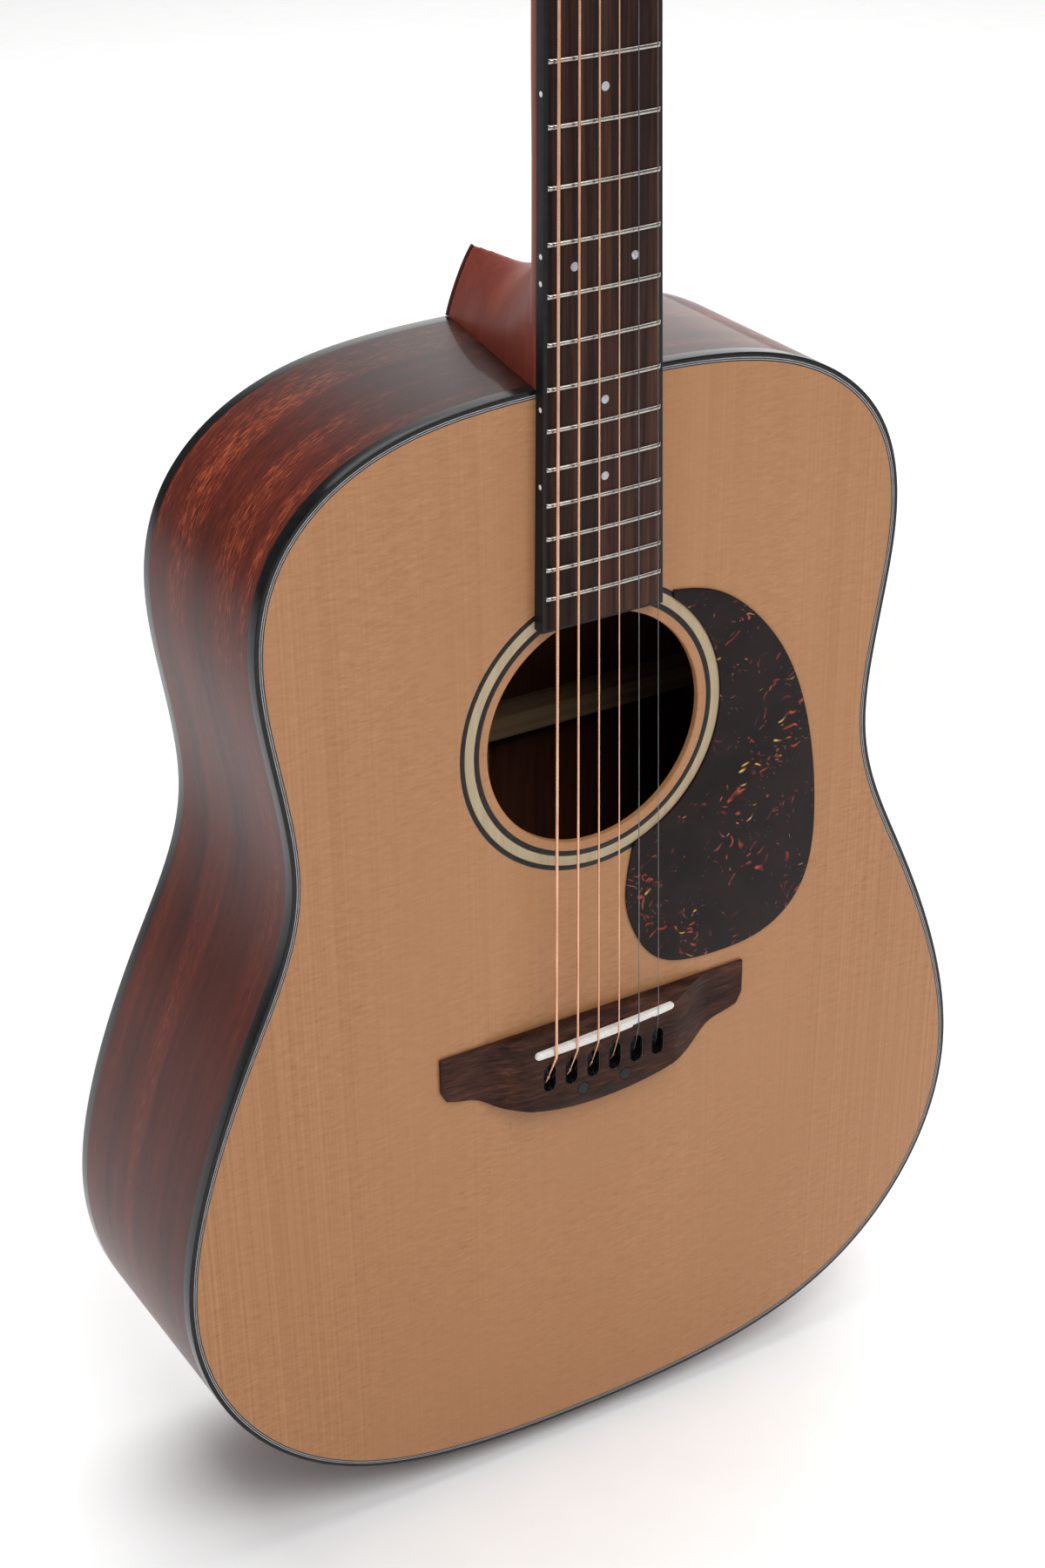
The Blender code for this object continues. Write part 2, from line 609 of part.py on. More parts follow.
def make_bridge():
    face = FRONT_Y - GAP
    bridge = plate("bridge", [bridge_outline()], face - 2 * PAST, 2 * PAST, "rosewood")
    # Half of the bridge seen from the tail, as (from the middle, height)
    half = [(0.078, -0.001), (0.078, 0.0018), (0.0510, 0.0023), (0.0455, 0.0046), (0.0400, 0.0077),
            (0.0375, BRIDGE_HEIGHT)]
    profile = [(x, face - h) for x, h in half] + [(-x, face - h) for x, h in reversed(half)]
    boolean(bridge, prism("bridge_profile", [profile], 0.15, 0.25), "INTERSECT")
    # Its rounded front edge and falling belly, as (below the front edge, height)
    across = [(-0.001, -0.001), (-0.001, 0.0015), (0.0006, 0.0046), (0.0020, 0.0068), (0.0038, 0.0081),
              (0.0055, BRIDGE_HEIGHT), (0.0367, BRIDGE_HEIGHT), (0.0410, 0.0073), (0.0455, 0.0046),
              (0.0455, -0.001)]
    rings = [[(x, face - h, BRIDGE_TOP_Z - down) for down, h in across] for x in (-0.1, 0.1)]
    boolean(bridge, loft("bridge_crown", rings), "INTERSECT")
    top = face - BRIDGE_HEIGHT
    for i in range(6):
        x = SLOT_SPACING * (i - 2.5)
        shape = stadium(SLOT_WIDTH, SLOT_LENGTH, (x, SLOT_Z))
        boolean(bridge, plate(f"string_slot_{i}", [shape], top - PAST, PAST + SLOT_DEPTH))
    for side, name in ((-1, "bridge_plug_bass"), (1, "bridge_plug_treble")):
        centre = (side * PLUG_PLACE[0], PLUG_PLACE[1])
        depth = 0.002
        hole = plate(name + "_hole", [circle(PLUG_RADIUS + GAP, centre, 16)], top - PAST, PAST + depth)
        boolean(bridge, hole)
        plate(name, [circle(PLUG_RADIUS, centre, 16)], top, depth - GAP, "black_plastic")
    frame = Matrix.Translation((0, 0, SADDLE_CENTRE_Z)) @ Matrix.Rotation(-SADDLE_TILT, 4, "Y")
    half_length, half_thick, sunk = SADDLE_LENGTH / 2, SADDLE_THICKNESS / 2, 0.003
    socket = box("saddle_slot", (-half_length - GAP, top - PAST, -half_thick - GAP),
                 (half_length + GAP, top + sunk, half_thick + GAP), frame=frame)
    boolean(bridge, socket)
    make_saddle(frame, top + sunk - GAP, half_length, half_thick)


def crown(x):
    """How far the crowned line of the board, nut and saddle falls away at x."""
    return x ** 2 / (2 * BOARD_CROWN_RADIUS)


def make_saddle(frame, bottom, half_length, half_thick):
    """A crowned bar with a narrower second-string seat, cut back from the tail side."""
    rings = []
    back_cuts = ((-1, 0), (0.36, 0), (0.36, 0.0008), (0.68, 0.0008), (0.68, 0.0004), (1, 0.0004))
    for share, cut in back_cuts:
        x = share * half_length
        front = FRONT_Y - SADDLE_HEIGHT + crown(x)
        ring = [(x, bottom, half_thick), (x, front, half_thick), (x, front, -half_thick + cut),
                (x, bottom, -half_thick + cut)]
        rings.append([frame @ Vector(corner) for corner in ring])
    loft("saddle", rings, "bone")


# Neck ---------------------------------------------------------------------------------------------

def neck_face(z):
    """y of the neck's glue face."""
    return FRONT_Y + NECK_SLOPE * (z - JOINT_Z)


def board_half_width(z):
    share = (NUT_Z - z) / (NUT_Z - fret_height_z(14))
    return NUT_HALF_WIDTH + (JOINT_HALF_WIDTH - NUT_HALF_WIDTH) * share


def fret_height_z(number):
    return NUT_Z - SCALE_LENGTH * (1 - 2 ** (-number / 12))


def board_back(z):
    """y of the board's underside: on the neck, then flat on the soundboard."""
    return (neck_face(z) if z > JOINT_Z else FRONT_Y) - GAP


def board_front(z, x=0.0):
    return neck_face(z) - GAP - BOARD_THICKNESS + crown(x)


def make_fingerboard():
    """The crowned board; the frets stand up from it as part of the same solid."""
    places = [(BOARD_END_Z + BOARD_EDGING + GAP, 0.0), (JOINT_Z, 0.0), (NUT_Z, 0.0)]
    for number in range(1, FRETS + 1):
        z = fret_height_z(number)
        for step, rise in ((-1, 0.0), (-0.45, FRET_HEIGHT), (0.45, FRET_HEIGHT), (1, 0.0)):
            places.append((z + step * FRET_WIDTH / 2, rise))
    rings = []
    for z, rise in sorted(places):
        width = board_half_width(z) - BOARD_EDGING - GAP
        across = [width * share for share in (1, 0.5, 0, -0.5, -1)]
        front = [(x, board_front(z, x) - rise, z) for x in across]
        rings.append([(-width, board_back(z), z), (width, board_back(z), z)] + front)
    loft("fingerboard", rings, "rosewood")


def make_board_binding():
    """A strip along both edges of the board and across its end over the soundhole."""
    def side_points(inset, low):
        return [(board_half_width(z) - inset, z) for z in (low, JOINT_Z, NUT_Z)]
    outer = side_points(0, BOARD_END_Z)
    inner = side_points(BOARD_EDGING, BOARD_END_Z + BOARD_EDGING)
    loop = outer + inner[::-1]
    loop += [(-x, z) for x, z in inner] + [(-x, z) for x, z in outer[::-1]]

    def build(work):
        back = [work.verts.new((x, board_back(z), z)) for x, z in loop]
        front = [work.verts.new((x, board_front(z, board_half_width(z)), z)) for x, z in loop]
        for i in range(len(loop)):
            j = (i + 1) % len(loop)
            work.faces.new((back[i], back[j], front[j], front[i]))
        half = len(loop) // 2
        for face in (back, front):
            for i in range(2):
                work.faces.new((face[i], face[i + 1], face[4 - i], face[5 - i]))
                k = len(loop) - 1 - i
                work.faces.new((face[k], face[k - 1], face[half + 1 + i], face[half + i]))
            work.faces.new((face[0], face[5], face[half], face[-1]))
    place("fingerboard_binding", mesh_from(build, "fingerboard_binding"), "black_binding")


def make_nut():
    low, high = NUT_Z + GAP, NUT_Z + NUT_THICKNESS
    rings = []
    for share in (-1, -0.5, 0, 0.5, 1):
        x = share * NUT_HALF_WIDTH
        top = board_front(NUT_Z, x) - NUT_HEIGHT
        back = neck_face(NUT_Z) - GAP
        rings.append([(x, back, low), (x, top, low), (x, top + 0.0004, high), (x, back, high)])
    loft("nut", rings, "bone")


def neck_depth(z):
    share = (NUT_Z - z) / (NUT_Z - JOINT_Z)
    return 0.0146 + 0.0026 * share


def neck_section(z, sides=12):
    """A D-shaped ring: flat glue face in front, rounded back."""
    width, deep, face = board_half_width(z), neck_depth(z), neck_face(z)
    ring = []
    for i in range(sides + 1):
        angle = math.pi * i / sides
        ring.append((width * math.cos(angle), face + deep * math.sin(angle) ** 0.9, z))
    return ring


# Heel slices: depth behind the soundboard's face, half width, height above the joint
HEEL_SLICES = ((0.004, 0.0261, 0.082), (0.012, 0.0248, 0.070), (0.019, 0.0237, 0.056),
               (0.026, 0.0226, 0.0455), (0.036, 0.0209, 0.0370), (0.050, 0.0186, 0.0306),
               (0.064, 0.0163, 0.0288), (0.078, 0.0138, 0.0280), (0.0912, 0.0126, 0.0268))


def heel_ring(deep, width, height, sides=12):
    """An arch of the heel at one depth, starting inside the body; it grows more pointed towards the cap."""
    below = JOINT_Z - 0.010
    ring = [(-width, FRONT_Y + deep, below), (width, FRONT_Y + deep, below)]
    point = deep / HEEL_SLICES[-1][0]
    for i in range(sides + 1):
        angle = math.pi * i / sides
        across, up = math.cos(angle), math.sin(angle)
        x = width * math.copysign(abs(across) ** (1 + 0.7 * point), across)
        ring.append((x, FRONT_Y + deep, JOINT_Z + height * up ** (0.8 + 0.9 * point ** 2)))
    return ring


def head_half_width(up):
    flare = min(max((up - 0.002) / 0.024, 0), 1)
    return 0.0216 + 0.0077 * flare ** 2 * (3 - 2 * flare) + 0.04 * max(up - 0.014, 0)


def head_outline(low, grow=0.0):
    rises = [low] + [0.002 + 0.003 * i for i in range(9)] + [HEAD_LENGTH - 0.004]
    side = [(head_half_width(up) + grow, up) for up in rises]
    widest = side[-1][0]
    shares = [1 - i / 4 for i in range(1, 8)]
    top = [(0.98 * widest * s, HEAD_LENGTH + 0.004 * (1 - s ** 2)) for s in shares]
    return side + [(0.98 * widest, HEAD_LENGTH)] + top + [(-0.98 * widest, HEAD_LENGTH)] + [
        (-x, up) for x, up in reversed(side)]


def make_neck():
    heights = [JOINT_Z - 0.012, JOINT_Z + 0.03, JOINT_Z + 0.09, JOINT_Z + 0.2, NUT_Z - 0.05, NUT_Z + 0.0062]
    neck = loft("neck", [neck_section(z) for z in heights], "neck_mahogany")
    heel = loft("heel", [heel_ring(*row) for row in HEEL_SLICES])
    boolean(neck, heel, "UNION")
    frame = Matrix.Translation(HEAD_BASE) @ HEAD_FRAME
    slab = prism("head_slab", [head_outline(-0.006)], -HEAD_THICKNESS, -VENEER - GAP, frame=frame)
    boolean(neck, slab, "UNION")
    body = plate("body_clearance", [edge_loop(-GAP)], -0.2, 0.4)
    boolean(neck, body)
    tenon_front = FRONT_Y + TOP_THICKNESS + 2 * GAP
    tenon = box("tenon", (-TENON_WIDTH / 2, tenon_front, JOINT_Z - 0.0215),
                (TENON_WIDTH / 2, tenon_front + TENON_DEPTH, JOINT_Z + 0.012))
    boolean(neck, tenon, "UNION")
    boolean(neck, truss_channel)
    veneer = prism("headstock_veneer", [head_outline(0.0003)], -VENEER, 0, "head_veneer", frame)
    for side in (1, -1):
        for across, up in TUNER_PLACES:
            spot = frame @ Matrix.Translation((side * across, up, 0))
            hole = cylinder(f"post_hole_{side}_{up}", BUSH_RADIUS + GAP, -0.03, 0.01, 12, frame=spot)
            boolean(neck, hole)
            boolean(veneer, hole)


def make_heel_cap():
    deep, width, height = HEEL_SLICES[-1]
    arch = [(x, z) for x, _, z in heel_ring(deep, width, height)[2:]]
    foot = JOINT_Z + GAP
    loop = [(-width, foot), (width, foot)] + [(x, max(z, foot + 0.0005)) for x, z in arch]
    plate("heel_cap", [loop], FRONT_Y + deep + GAP, 0.0018, "black_binding")


def rod_frame(z):
    """A frame whose Z axis is the truss rod's axis, at height z."""
    frame = UP_NECK.to_track_quat("Z", "Y").to_matrix().to_4x4()
    frame.translation = Vector((0, FRONT_Y + TRUSS_ROD_DEPTH + NECK_SLOPE * (z - JOINT_Z), z))
    return frame


def make_truss_rod():
    start = TRUSS_NUT_Z + TRUSS_NUT_LENGTH + GAP
    frame = rod_frame(start)
    cylinder("truss_rod", TRUSS_ROD_RADIUS, 0, ROD_TOP_Z - start, 10, "steel", frame)
    frame = rod_frame(TRUSS_NUT_Z)
    nut = cylinder("truss_rod_nut", TRUSS_NUT_RADIUS, 0, TRUSS_NUT_LENGTH, 12, "steel", frame,
                   frame.translation)
    socket_radius, socket_depth = 0.0022, 0.007
    boolean(nut, cylinder("allen_socket", socket_radius, -PAST, socket_depth, 6, frame=frame))


# Tuners -------------------------------------------------------------------------------------------

def tuner_frame(side, across, up):
    """Local frame of one tuner: X outwards, Y up the head, Z to the front, 0 on the head's back."""
    spot = Vector((side * across, up, -HEAD_THICKNESS - GAP))
    return Matrix.Translation(HEAD_BASE) @ HEAD_FRAME @ Matrix.Translation(spot)


def gear_outline():
    """Trapezoid teeth; one tooth points straight down, into the worm."""
    loop = []
    root, tip = GEAR_RADIUS - TOOTH_ROOT, GEAR_RADIUS + TOOTH_TIP
    pitch = 2 * math.pi / GEAR_TEETH
    for tooth in range(GEAR_TEETH):
        centre = -math.pi / 2 + tooth * pitch
        for radius, share in ((root, -0.24), (tip, -0.07), (tip, 0.07), (root, 0.24)):
            angle = centre + share * pitch
            loop.append((radius * math.cos(angle), radius * math.sin(angle)))
    return loop


def worm_offset():
    return -(GEAR_RADIUS + WORM_RADIUS)


def thread_height(phase):
    """Share of the full thread height at a phase within one pitch, 0 at the crest."""
    away = abs(phase - round(phase))
    return min(max((0.24 - away) / 0.15, 0), 1)


def make_knob_mesh():
    """Button, shaft and worm in one turned piece along X; a right-hand thread."""
    pitch = 2 * math.pi * GEAR_RADIUS / GEAR_TEETH
    root, rows_per_turn = WORM_RADIUS - THREAD_ROOT, 5
    rows = rows_per_turn * WORM_TURNS
    rings = [(WORM_INNER_END, SHAFT_RADIUS, SHAFT_RADIUS, 0)]
    for i in range(rows + 1):
        rings.append((pitch * (i / rows_per_turn - WORM_TURNS / 2), root, root, THREAD_RISE))
    rings += [(*row, 0) for row in BUTTON]
    loops = []
    for out, tall, thick, thread in rings:
        ring = []
        for i in range(WORM_SIDES):
            angle = 2 * math.pi * i / WORM_SIDES
            lift = thread * thread_height(out / pitch - 0.5 - i / WORM_SIDES)
            ring.append((out, (tall + lift) * math.cos(angle), (thick + lift) * math.sin(angle)))
        loops.append(ring)
    return loft("knob_master", loops)


def make_post_mesh():
    """The string post with its gear, turning about Z."""
    low = GEAR_LEVEL - GEAR_THICKNESS / 2
    gear = prism("gear_master", [gear_outline()], low, low + GEAR_THICKNESS)
    post = cylinder("post_master", POST_RADIUS, POST_LOW, HEAD_THICKNESS + POST_PROUD, 12)
    boolean(post, gear, "UNION")
    return apply_modifiers(post)


def make_housing_mesh():
    """A closed gear case with a threaded bush that reaches through the head to a nut on its front."""
    wall = HOUSING_WALL
    reach, above, deep = HOUSING_REACH, HOUSING_REACH, HOUSING_FLOOR
    below = worm_offset() - WORM_ROOM
    case = box("housing_master", (-reach - wall, below - wall, deep - wall), (reach + wall, above + wall, 0))
    bevel = case.modifiers.new("soft_edges", "BEVEL")
    bevel.width = HOUSING_BEVEL
    bevel.segments = 1
    apply_modifiers(case)
    front = HEAD_THICKNESS + GAP
    bush = cylinder("bush", BUSH_RADIUS, -wall / 2, front + BUSH_PROUD, 12)
    hexagon = cylinder("hexagon", HEXAGON_RADIUS, front + GAP, front + HEXAGON_PROUD, 6)
    hollow = box("hollow", (-reach, below, deep), (reach, above, -wall))
    bore = cylinder("bore", POST_RADIUS + BORE_ROOM, -3 * wall, front + 2 * PAST, 12)
    outlet_frame = Matrix.Translation((0, worm_offset(), GEAR_LEVEL)) @ Matrix.Rotation(math.pi / 2, 4, "Y")
    outlet = cylinder("outlet", SHAFT_RADIUS + SHAFT_ROOM, 0, 2 * PAST, 10, frame=outlet_frame)
    for tool in (bush, hexagon):
        boolean(case, tool, "UNION")
    for tool in (hollow, bore, outlet):
        boolean(case, tool)
    return apply_modifiers(case)


def copy_mesh(master, matrix, mirrored):
    mesh = master.data.copy()
    if mirrored:
        mesh.transform(Matrix.Diagonal((-1, 1, 1, 1)))
        mesh.flip_normals()
    mesh.transform(matrix)
    return mesh


def make_tuners():
    housing, knob, post = make_housing_mesh(), make_knob_mesh(), make_post_mesh()
    worm_place = Matrix.Translation((0, worm_offset(), GEAR_LEVEL))
    for side, numbers in ((1, (1, 2, 3)), (-1, (6, 5, 4))):
        for number, (across, up) in zip(numbers, TUNER_PLACES):
            frame = tuner_frame(side, across, up)
            for piece, master, at in (("housing", housing, frame), ("post", post, frame),
                                      ("knob", knob, frame @ worm_place)):
                mesh = copy_mesh(master, at, mirrored=side < 0)
                turns_about = None if piece == "housing" else at.translation
                place(f"tuner_{number}_{piece}", mesh, "tuner_metal", turns_about)


# Strings ------------------------------------------------------------------------------------------

def wrap_points(side, across, up, radius, entry, turns):
    """Turns of a string round its post, from the inner side downwards to the head's face."""
    frame = Matrix.Translation(HEAD_BASE) @ HEAD_FRAME @ Matrix.Translation((side * across, up, 0))
    coil = POST_RADIUS + GAP + radius
    steps = 10
    points = []
    for i in range(int(steps * turns) + 1):
        angle = 2 * math.pi * i / steps
        drop = (2 * radius + GAP) * i / steps
        local = Vector((-side * coil * math.cos(angle), coil * math.sin(angle), entry - drop))
        points.append(frame @ local)
    return points


def make_strings():
    """Each string runs from its bridge slot over the saddle and the nut to its post."""
    for number, radius in enumerate(STRING_RADII, start=1):
        place_x = 3.5 - number
        side = 1 if number <= 3 else -1
        across, up = TUNER_PLACES[(number - 1) if side > 0 else (6 - number)]
        x_saddle, x_nut = place_x * STRING_SPACING_SADDLE, place_x * STRING_SPACING_NUT
        x_slot = place_x * SLOT_SPACING
        saddle_z = SADDLE_CENTRE_Z + x_saddle * math.tan(SADDLE_TILT)
        over_saddle = FRONT_Y - SADDLE_HEIGHT + crown(x_saddle) - GAP - radius
        over_nut = board_front(NUT_Z, x_nut) - NUT_HEIGHT - GAP - radius
        anchor = FRONT_Y - GAP - STRING_ANCHOR
        points = [(x_slot, anchor, SLOT_Z - STRING_ANCHOR), (x_slot, anchor - STRING_RISE, SLOT_Z),
                  (x_saddle, over_saddle, saddle_z - SADDLE_THICKNESS / 2),
                  (x_saddle, over_saddle, saddle_z + SADDLE_THICKNESS / 2),
                  (x_nut, over_nut, NUT_Z + GAP), (x_nut, over_nut + 0.0004, NUT_Z + NUT_THICKNESS)]
        turns = 1.75 if radius > 0.00025 else 2.75
        points += wrap_points(side, across, up, radius, WRAP_LEVEL, turns)
        tube(f"string_{number}", points, radius, "bronze_string" if number > 2 else "steel_string")


FINISHES = {
    "spruce": ((0.72, 0.47, 0.25), 0.35), "spruce_inside": ((0.66, 0.50, 0.30), 0.7),
    "maple_inside": ((0.70, 0.56, 0.38), 0.7), "mahogany": ((0.16, 0.045, 0.022), 0.3),
    "mahogany_inside": ((0.30, 0.12, 0.06), 0.7), "neck_mahogany": ((0.27, 0.075, 0.04), 0.45),
    "rosewood": ((0.075, 0.035, 0.022), 0.5), "head_veneer": ((0.05, 0.025, 0.018), 0.35),
    "black_binding": ((0.012, 0.012, 0.014), 0.25), "black_plastic": ((0.012, 0.012, 0.013), 0.25),
    "cream_inlay": ((0.78, 0.66, 0.44), 0.35), "tortoise": ((0.05, 0.018, 0.014), 0.15),
    "bone": ((0.86, 0.83, 0.75), 0.4),
}
METALS = {
    "steel": ((0.5, 0.5, 0.52), 0.4), "tuner_metal": ((0.72, 0.72, 0.74), 0.18),
    "bronze_string": ((0.85, 0.50, 0.32), 0.35), "steel_string": ((0.75, 0.75, 0.76), 0.25),
}

remove_everything()
guitar = new_collection("acoustic_guitar")
cutters = new_collection("cutters")
finishes = {name: material(name, *look) for name, look in FINISHES.items()}
finishes.update({name: material(name, *look, metallic=1.0) for name, look in METALS.items()})
edge = measure_outline()

end_pin_hole = cylinder("end_pin_hole", END_PIN_HOLE_RADIUS, PIN_REACH - PAST, PIN_REACH + 3 * PAST, 16)
cavity = bowl("cavity", SIDE_THICKNESS + GAP, lambda x, width, z: FRONT_Y + TOP_THICKNESS + GAP,
              dome(BACK_THICKNESS + GAP))
between_linings = bowl("between_linings", SIDE_THICKNESS + LINING_WIDTH + 2 * GAP,
                       lambda x, width, z: FRONT_Y + TOP_THICKNESS + GAP, dome(BACK_THICKNESS + GAP))
channel_half = TRUSS_ROD_RADIUS + GAP
truss_channel = box("truss_channel", (-channel_half, -0.02, -0.12),
                    (channel_half, channel_half, ROD_TOP_Z + 0.002 - JOINT_Z), frame=rod_frame(JOINT_Z))

make_soundboard()
make_back()
make_sides()
make_bindings()
make_linings()
make_blocks()
make_top_bracing()
make_back_bracing()
make_pickguard()
make_end_pin()
make_bridge()
make_fingerboard()
make_board_binding()
make_nut()
make_neck()
make_heel_cap()
make_truss_rod()
make_tuners()
make_strings()
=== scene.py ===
"""The looks of a dreadnought acoustic guitar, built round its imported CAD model.

Lengths are in metres. +Z runs from the tail to the head, -Y is the string side, +X the treble side.
"""

import math

import bmesh
import bpy
import numpy as np
from mathutils import Matrix, Vector
from mathutils.geometry import tessellate_polygon


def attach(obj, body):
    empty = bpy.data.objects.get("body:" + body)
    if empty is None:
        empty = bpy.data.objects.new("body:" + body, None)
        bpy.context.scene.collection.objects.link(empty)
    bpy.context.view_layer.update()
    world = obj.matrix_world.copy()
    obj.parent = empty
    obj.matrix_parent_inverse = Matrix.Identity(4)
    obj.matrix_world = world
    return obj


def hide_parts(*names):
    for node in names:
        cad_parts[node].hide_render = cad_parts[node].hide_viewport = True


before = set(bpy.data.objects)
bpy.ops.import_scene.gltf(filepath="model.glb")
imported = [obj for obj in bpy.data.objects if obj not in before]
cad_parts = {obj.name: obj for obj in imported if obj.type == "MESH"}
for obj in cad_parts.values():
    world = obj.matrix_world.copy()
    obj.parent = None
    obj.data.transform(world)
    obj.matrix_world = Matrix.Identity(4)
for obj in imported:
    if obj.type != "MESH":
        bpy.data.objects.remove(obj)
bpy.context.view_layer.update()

# Dimensions, the same as those of the CAD model
SCALE_LENGTH = 0.644
PIN_REACH = 0.0115
BODY_LENGTH = 0.5065
TAIL_DEPTH = 0.1145
HEEL_DEPTH = 0.093
BACK_DOME_RADIUS = 5.0
FRONT_Y = -TAIL_DEPTH / 2
JOINT_Z = PIN_REACH + BODY_LENGTH
NECK_LENGTH = 0.358
NUT_Z = JOINT_Z + NECK_LENGTH
NECK_SLOPE = 0.008
NECK_RUN_OUT = 0.0062
# The body's treble half from the tail to the neck joint: x, and height above the tail
OUTLINE = ((0, 0), (0.1145, 0.0145), (0.1755, 0.0605), (0.1995, 0.140), (0.166, 0.2515), (0.140, 0.324),
           (0.1495, 0.411), (0.1365, 0.466), (0.0885, 0.4985), (0, BODY_LENGTH))
TOP_THICKNESS = 0.0028
BACK_THICKNESS = 0.0028
SIDE_THICKNESS = 0.0022
BINDING_WIDTH = 0.0019
BINDING_HEIGHT = 0.006
PURFLING_WIDTH = 0.0035
PURFLING_DEPTH = 0.0026
LINING_WIDTH = 0.006
LINING_HEIGHT = 0.014
BINDING_STOP = 0.020
EDGE_STEPS = 420
HOLE_Z = PIN_REACH + 0.358
HOLE_RADIUS = 0.0506
ROSETTE_INNER = 0.0546
ROSETTE_OUTER = 0.0635
ROSETTE_DEPTH = 0.0012
NUT_HALF_WIDTH = 0.02115
JOINT_HALF_WIDTH = 0.02675
BOARD_THICKNESS = 0.0063
BOARD_END_Z = HOLE_Z + HOLE_RADIUS + 0.0005
BOARD_CROWN_RADIUS = 0.4
BOARD_EDGING = 0.0015
FRETS = 20
FRET_WIDTH = 0.0019
FRET_HEIGHT = 0.001
NUT_HEIGHT = 0.0018
NUT_THICKNESS = 0.0055
BRIDGE_HEIGHT = 0.0088
BRIDGE_TOP_Z = PIN_REACH + 0.2235
SADDLE_LENGTH = 0.071
SADDLE_THICKNESS = 0.0036
SADDLE_HEIGHT = 0.0118
SADDLE_TILT = 0.0435
SADDLE_CENTRE_Z = PIN_REACH + 0.2165
SLOT_WIDTH = 0.0065
SLOT_LENGTH = 0.0137
SLOT_DEPTH = 0.006
SLOT_SPACING = 0.0111
SLOT_Z = PIN_REACH + 0.2013
PLUG_RADIUS = 0.0029
PLUG_PLACE = (0.0109, PIN_REACH + 0.1903)
# From the thinnest string on the treble side to the thickest on the bass side
STRING_RADII = (0.00015, 0.0002, 0.0003, 0.0004, 0.00053, 0.00067)
STRING_SPACING_NUT = 0.0071
STRING_SPACING_SADDLE = 0.0105
HEAD_TILT = math.radians(14)
HEAD_LENGTH = 0.170
HEAD_THICKNESS = 0.0145
VENEER = 0.0015
HEAD_GAP = 0.0065
HEAD_BASE = Vector((0, FRONT_Y + NECK_SLOPE * (NECK_LENGTH + HEAD_GAP) + 0.0005, NUT_Z + HEAD_GAP))
HEAD_UP = Vector((0, math.sin(HEAD_TILT), math.cos(HEAD_TILT)))
HEAD_NORMAL = Vector((0, -math.cos(HEAD_TILT), math.sin(HEAD_TILT)))
HEAD_FRAME = Matrix.Translation(HEAD_BASE) @ Matrix((Vector((1, 0, 0)), HEAD_UP, HEAD_NORMAL)).transposed().to_4x4()
# Each post's place across and up the head, on one side
TUNER_PLACES = ((0.0205, 0.042), (0.0225, 0.084), (0.0245, 0.126))
GEAR_TEETH = 14
GEAR_RADIUS = 0.006
GEAR_THICKNESS = 0.002
GEAR_LEVEL = -0.0052
WORM_RADIUS = 0.0022
WORM_TURNS = 3
WORM_OFFSET = -(GEAR_RADIUS + WORM_RADIUS)
SHAFT_RADIUS = 0.0014
POST_RADIUS = 0.003
BUSH_RADIUS = 0.0047
HOUSING_WALL = 0.0012
HOUSING_LOW = WORM_OFFSET - 0.0032
TAB_THICKNESS = 0.0013
GLUE = 0.0003
TRUSS_NUT_RADIUS = 0.004
TRUSS_NUT_LENGTH = 0.012
TRUSS_ROD_DEPTH = 0.0082
TRUSS_NUT_Z = BOARD_END_Z + 0.002
# The heel at rising depths behind the soundboard's face: depth, half width and height above the joint
HEEL_SLICES = ((0.004, 0.0261, 0.082), (0.012, 0.0248, 0.070), (0.019, 0.0237, 0.056), (0.026, 0.0226, 0.0455),
               (0.036, 0.0209, 0.0370), (0.050, 0.0186, 0.0306), (0.064, 0.0163, 0.0288), (0.078, 0.0138, 0.0280),
               (0.0912, 0.0126, 0.0268))


# Camera, light and floor ---------------------------------------------------------------------------

def make_camera():
    """The photograph's view, from the front on the bass side, looking down at the body."""
    data = bpy.data.cameras.new("camera")
    data.sensor_width = 36
    data.lens = 63.01
    data.shift_y = 0.1352
    data.clip_start = 0.01
    data.clip_end = 100
    camera = bpy.data.objects.new("camera", data)
    right, up = Vector((0.8564, -0.5163, -0.0107)), Vector((0.283, 0.452, 0.846))
    turn = Matrix((right, up, right.cross(up))).transposed()
    camera.location = (-0.5385, -0.9038, 0.8733)
    camera.rotation_euler = turn.to_euler()
    bpy.context.scene.collection.objects.link(camera)
    bpy.context.scene.camera = camera


def area_light(name, place, aim, size, power):
    data = bpy.data.lights.new(name, "AREA")
    data.shape = "RECTANGLE"
    data.size, data.size_y = size
    data.energy = power
    light = bpy.data.objects.new(name, data)
    light.location = place
    light.rotation_euler = (Vector(aim) - Vector(place)).to_track_quat("-Z", "Y").to_euler()
    bpy.context.scene.collection.objects.link(light)


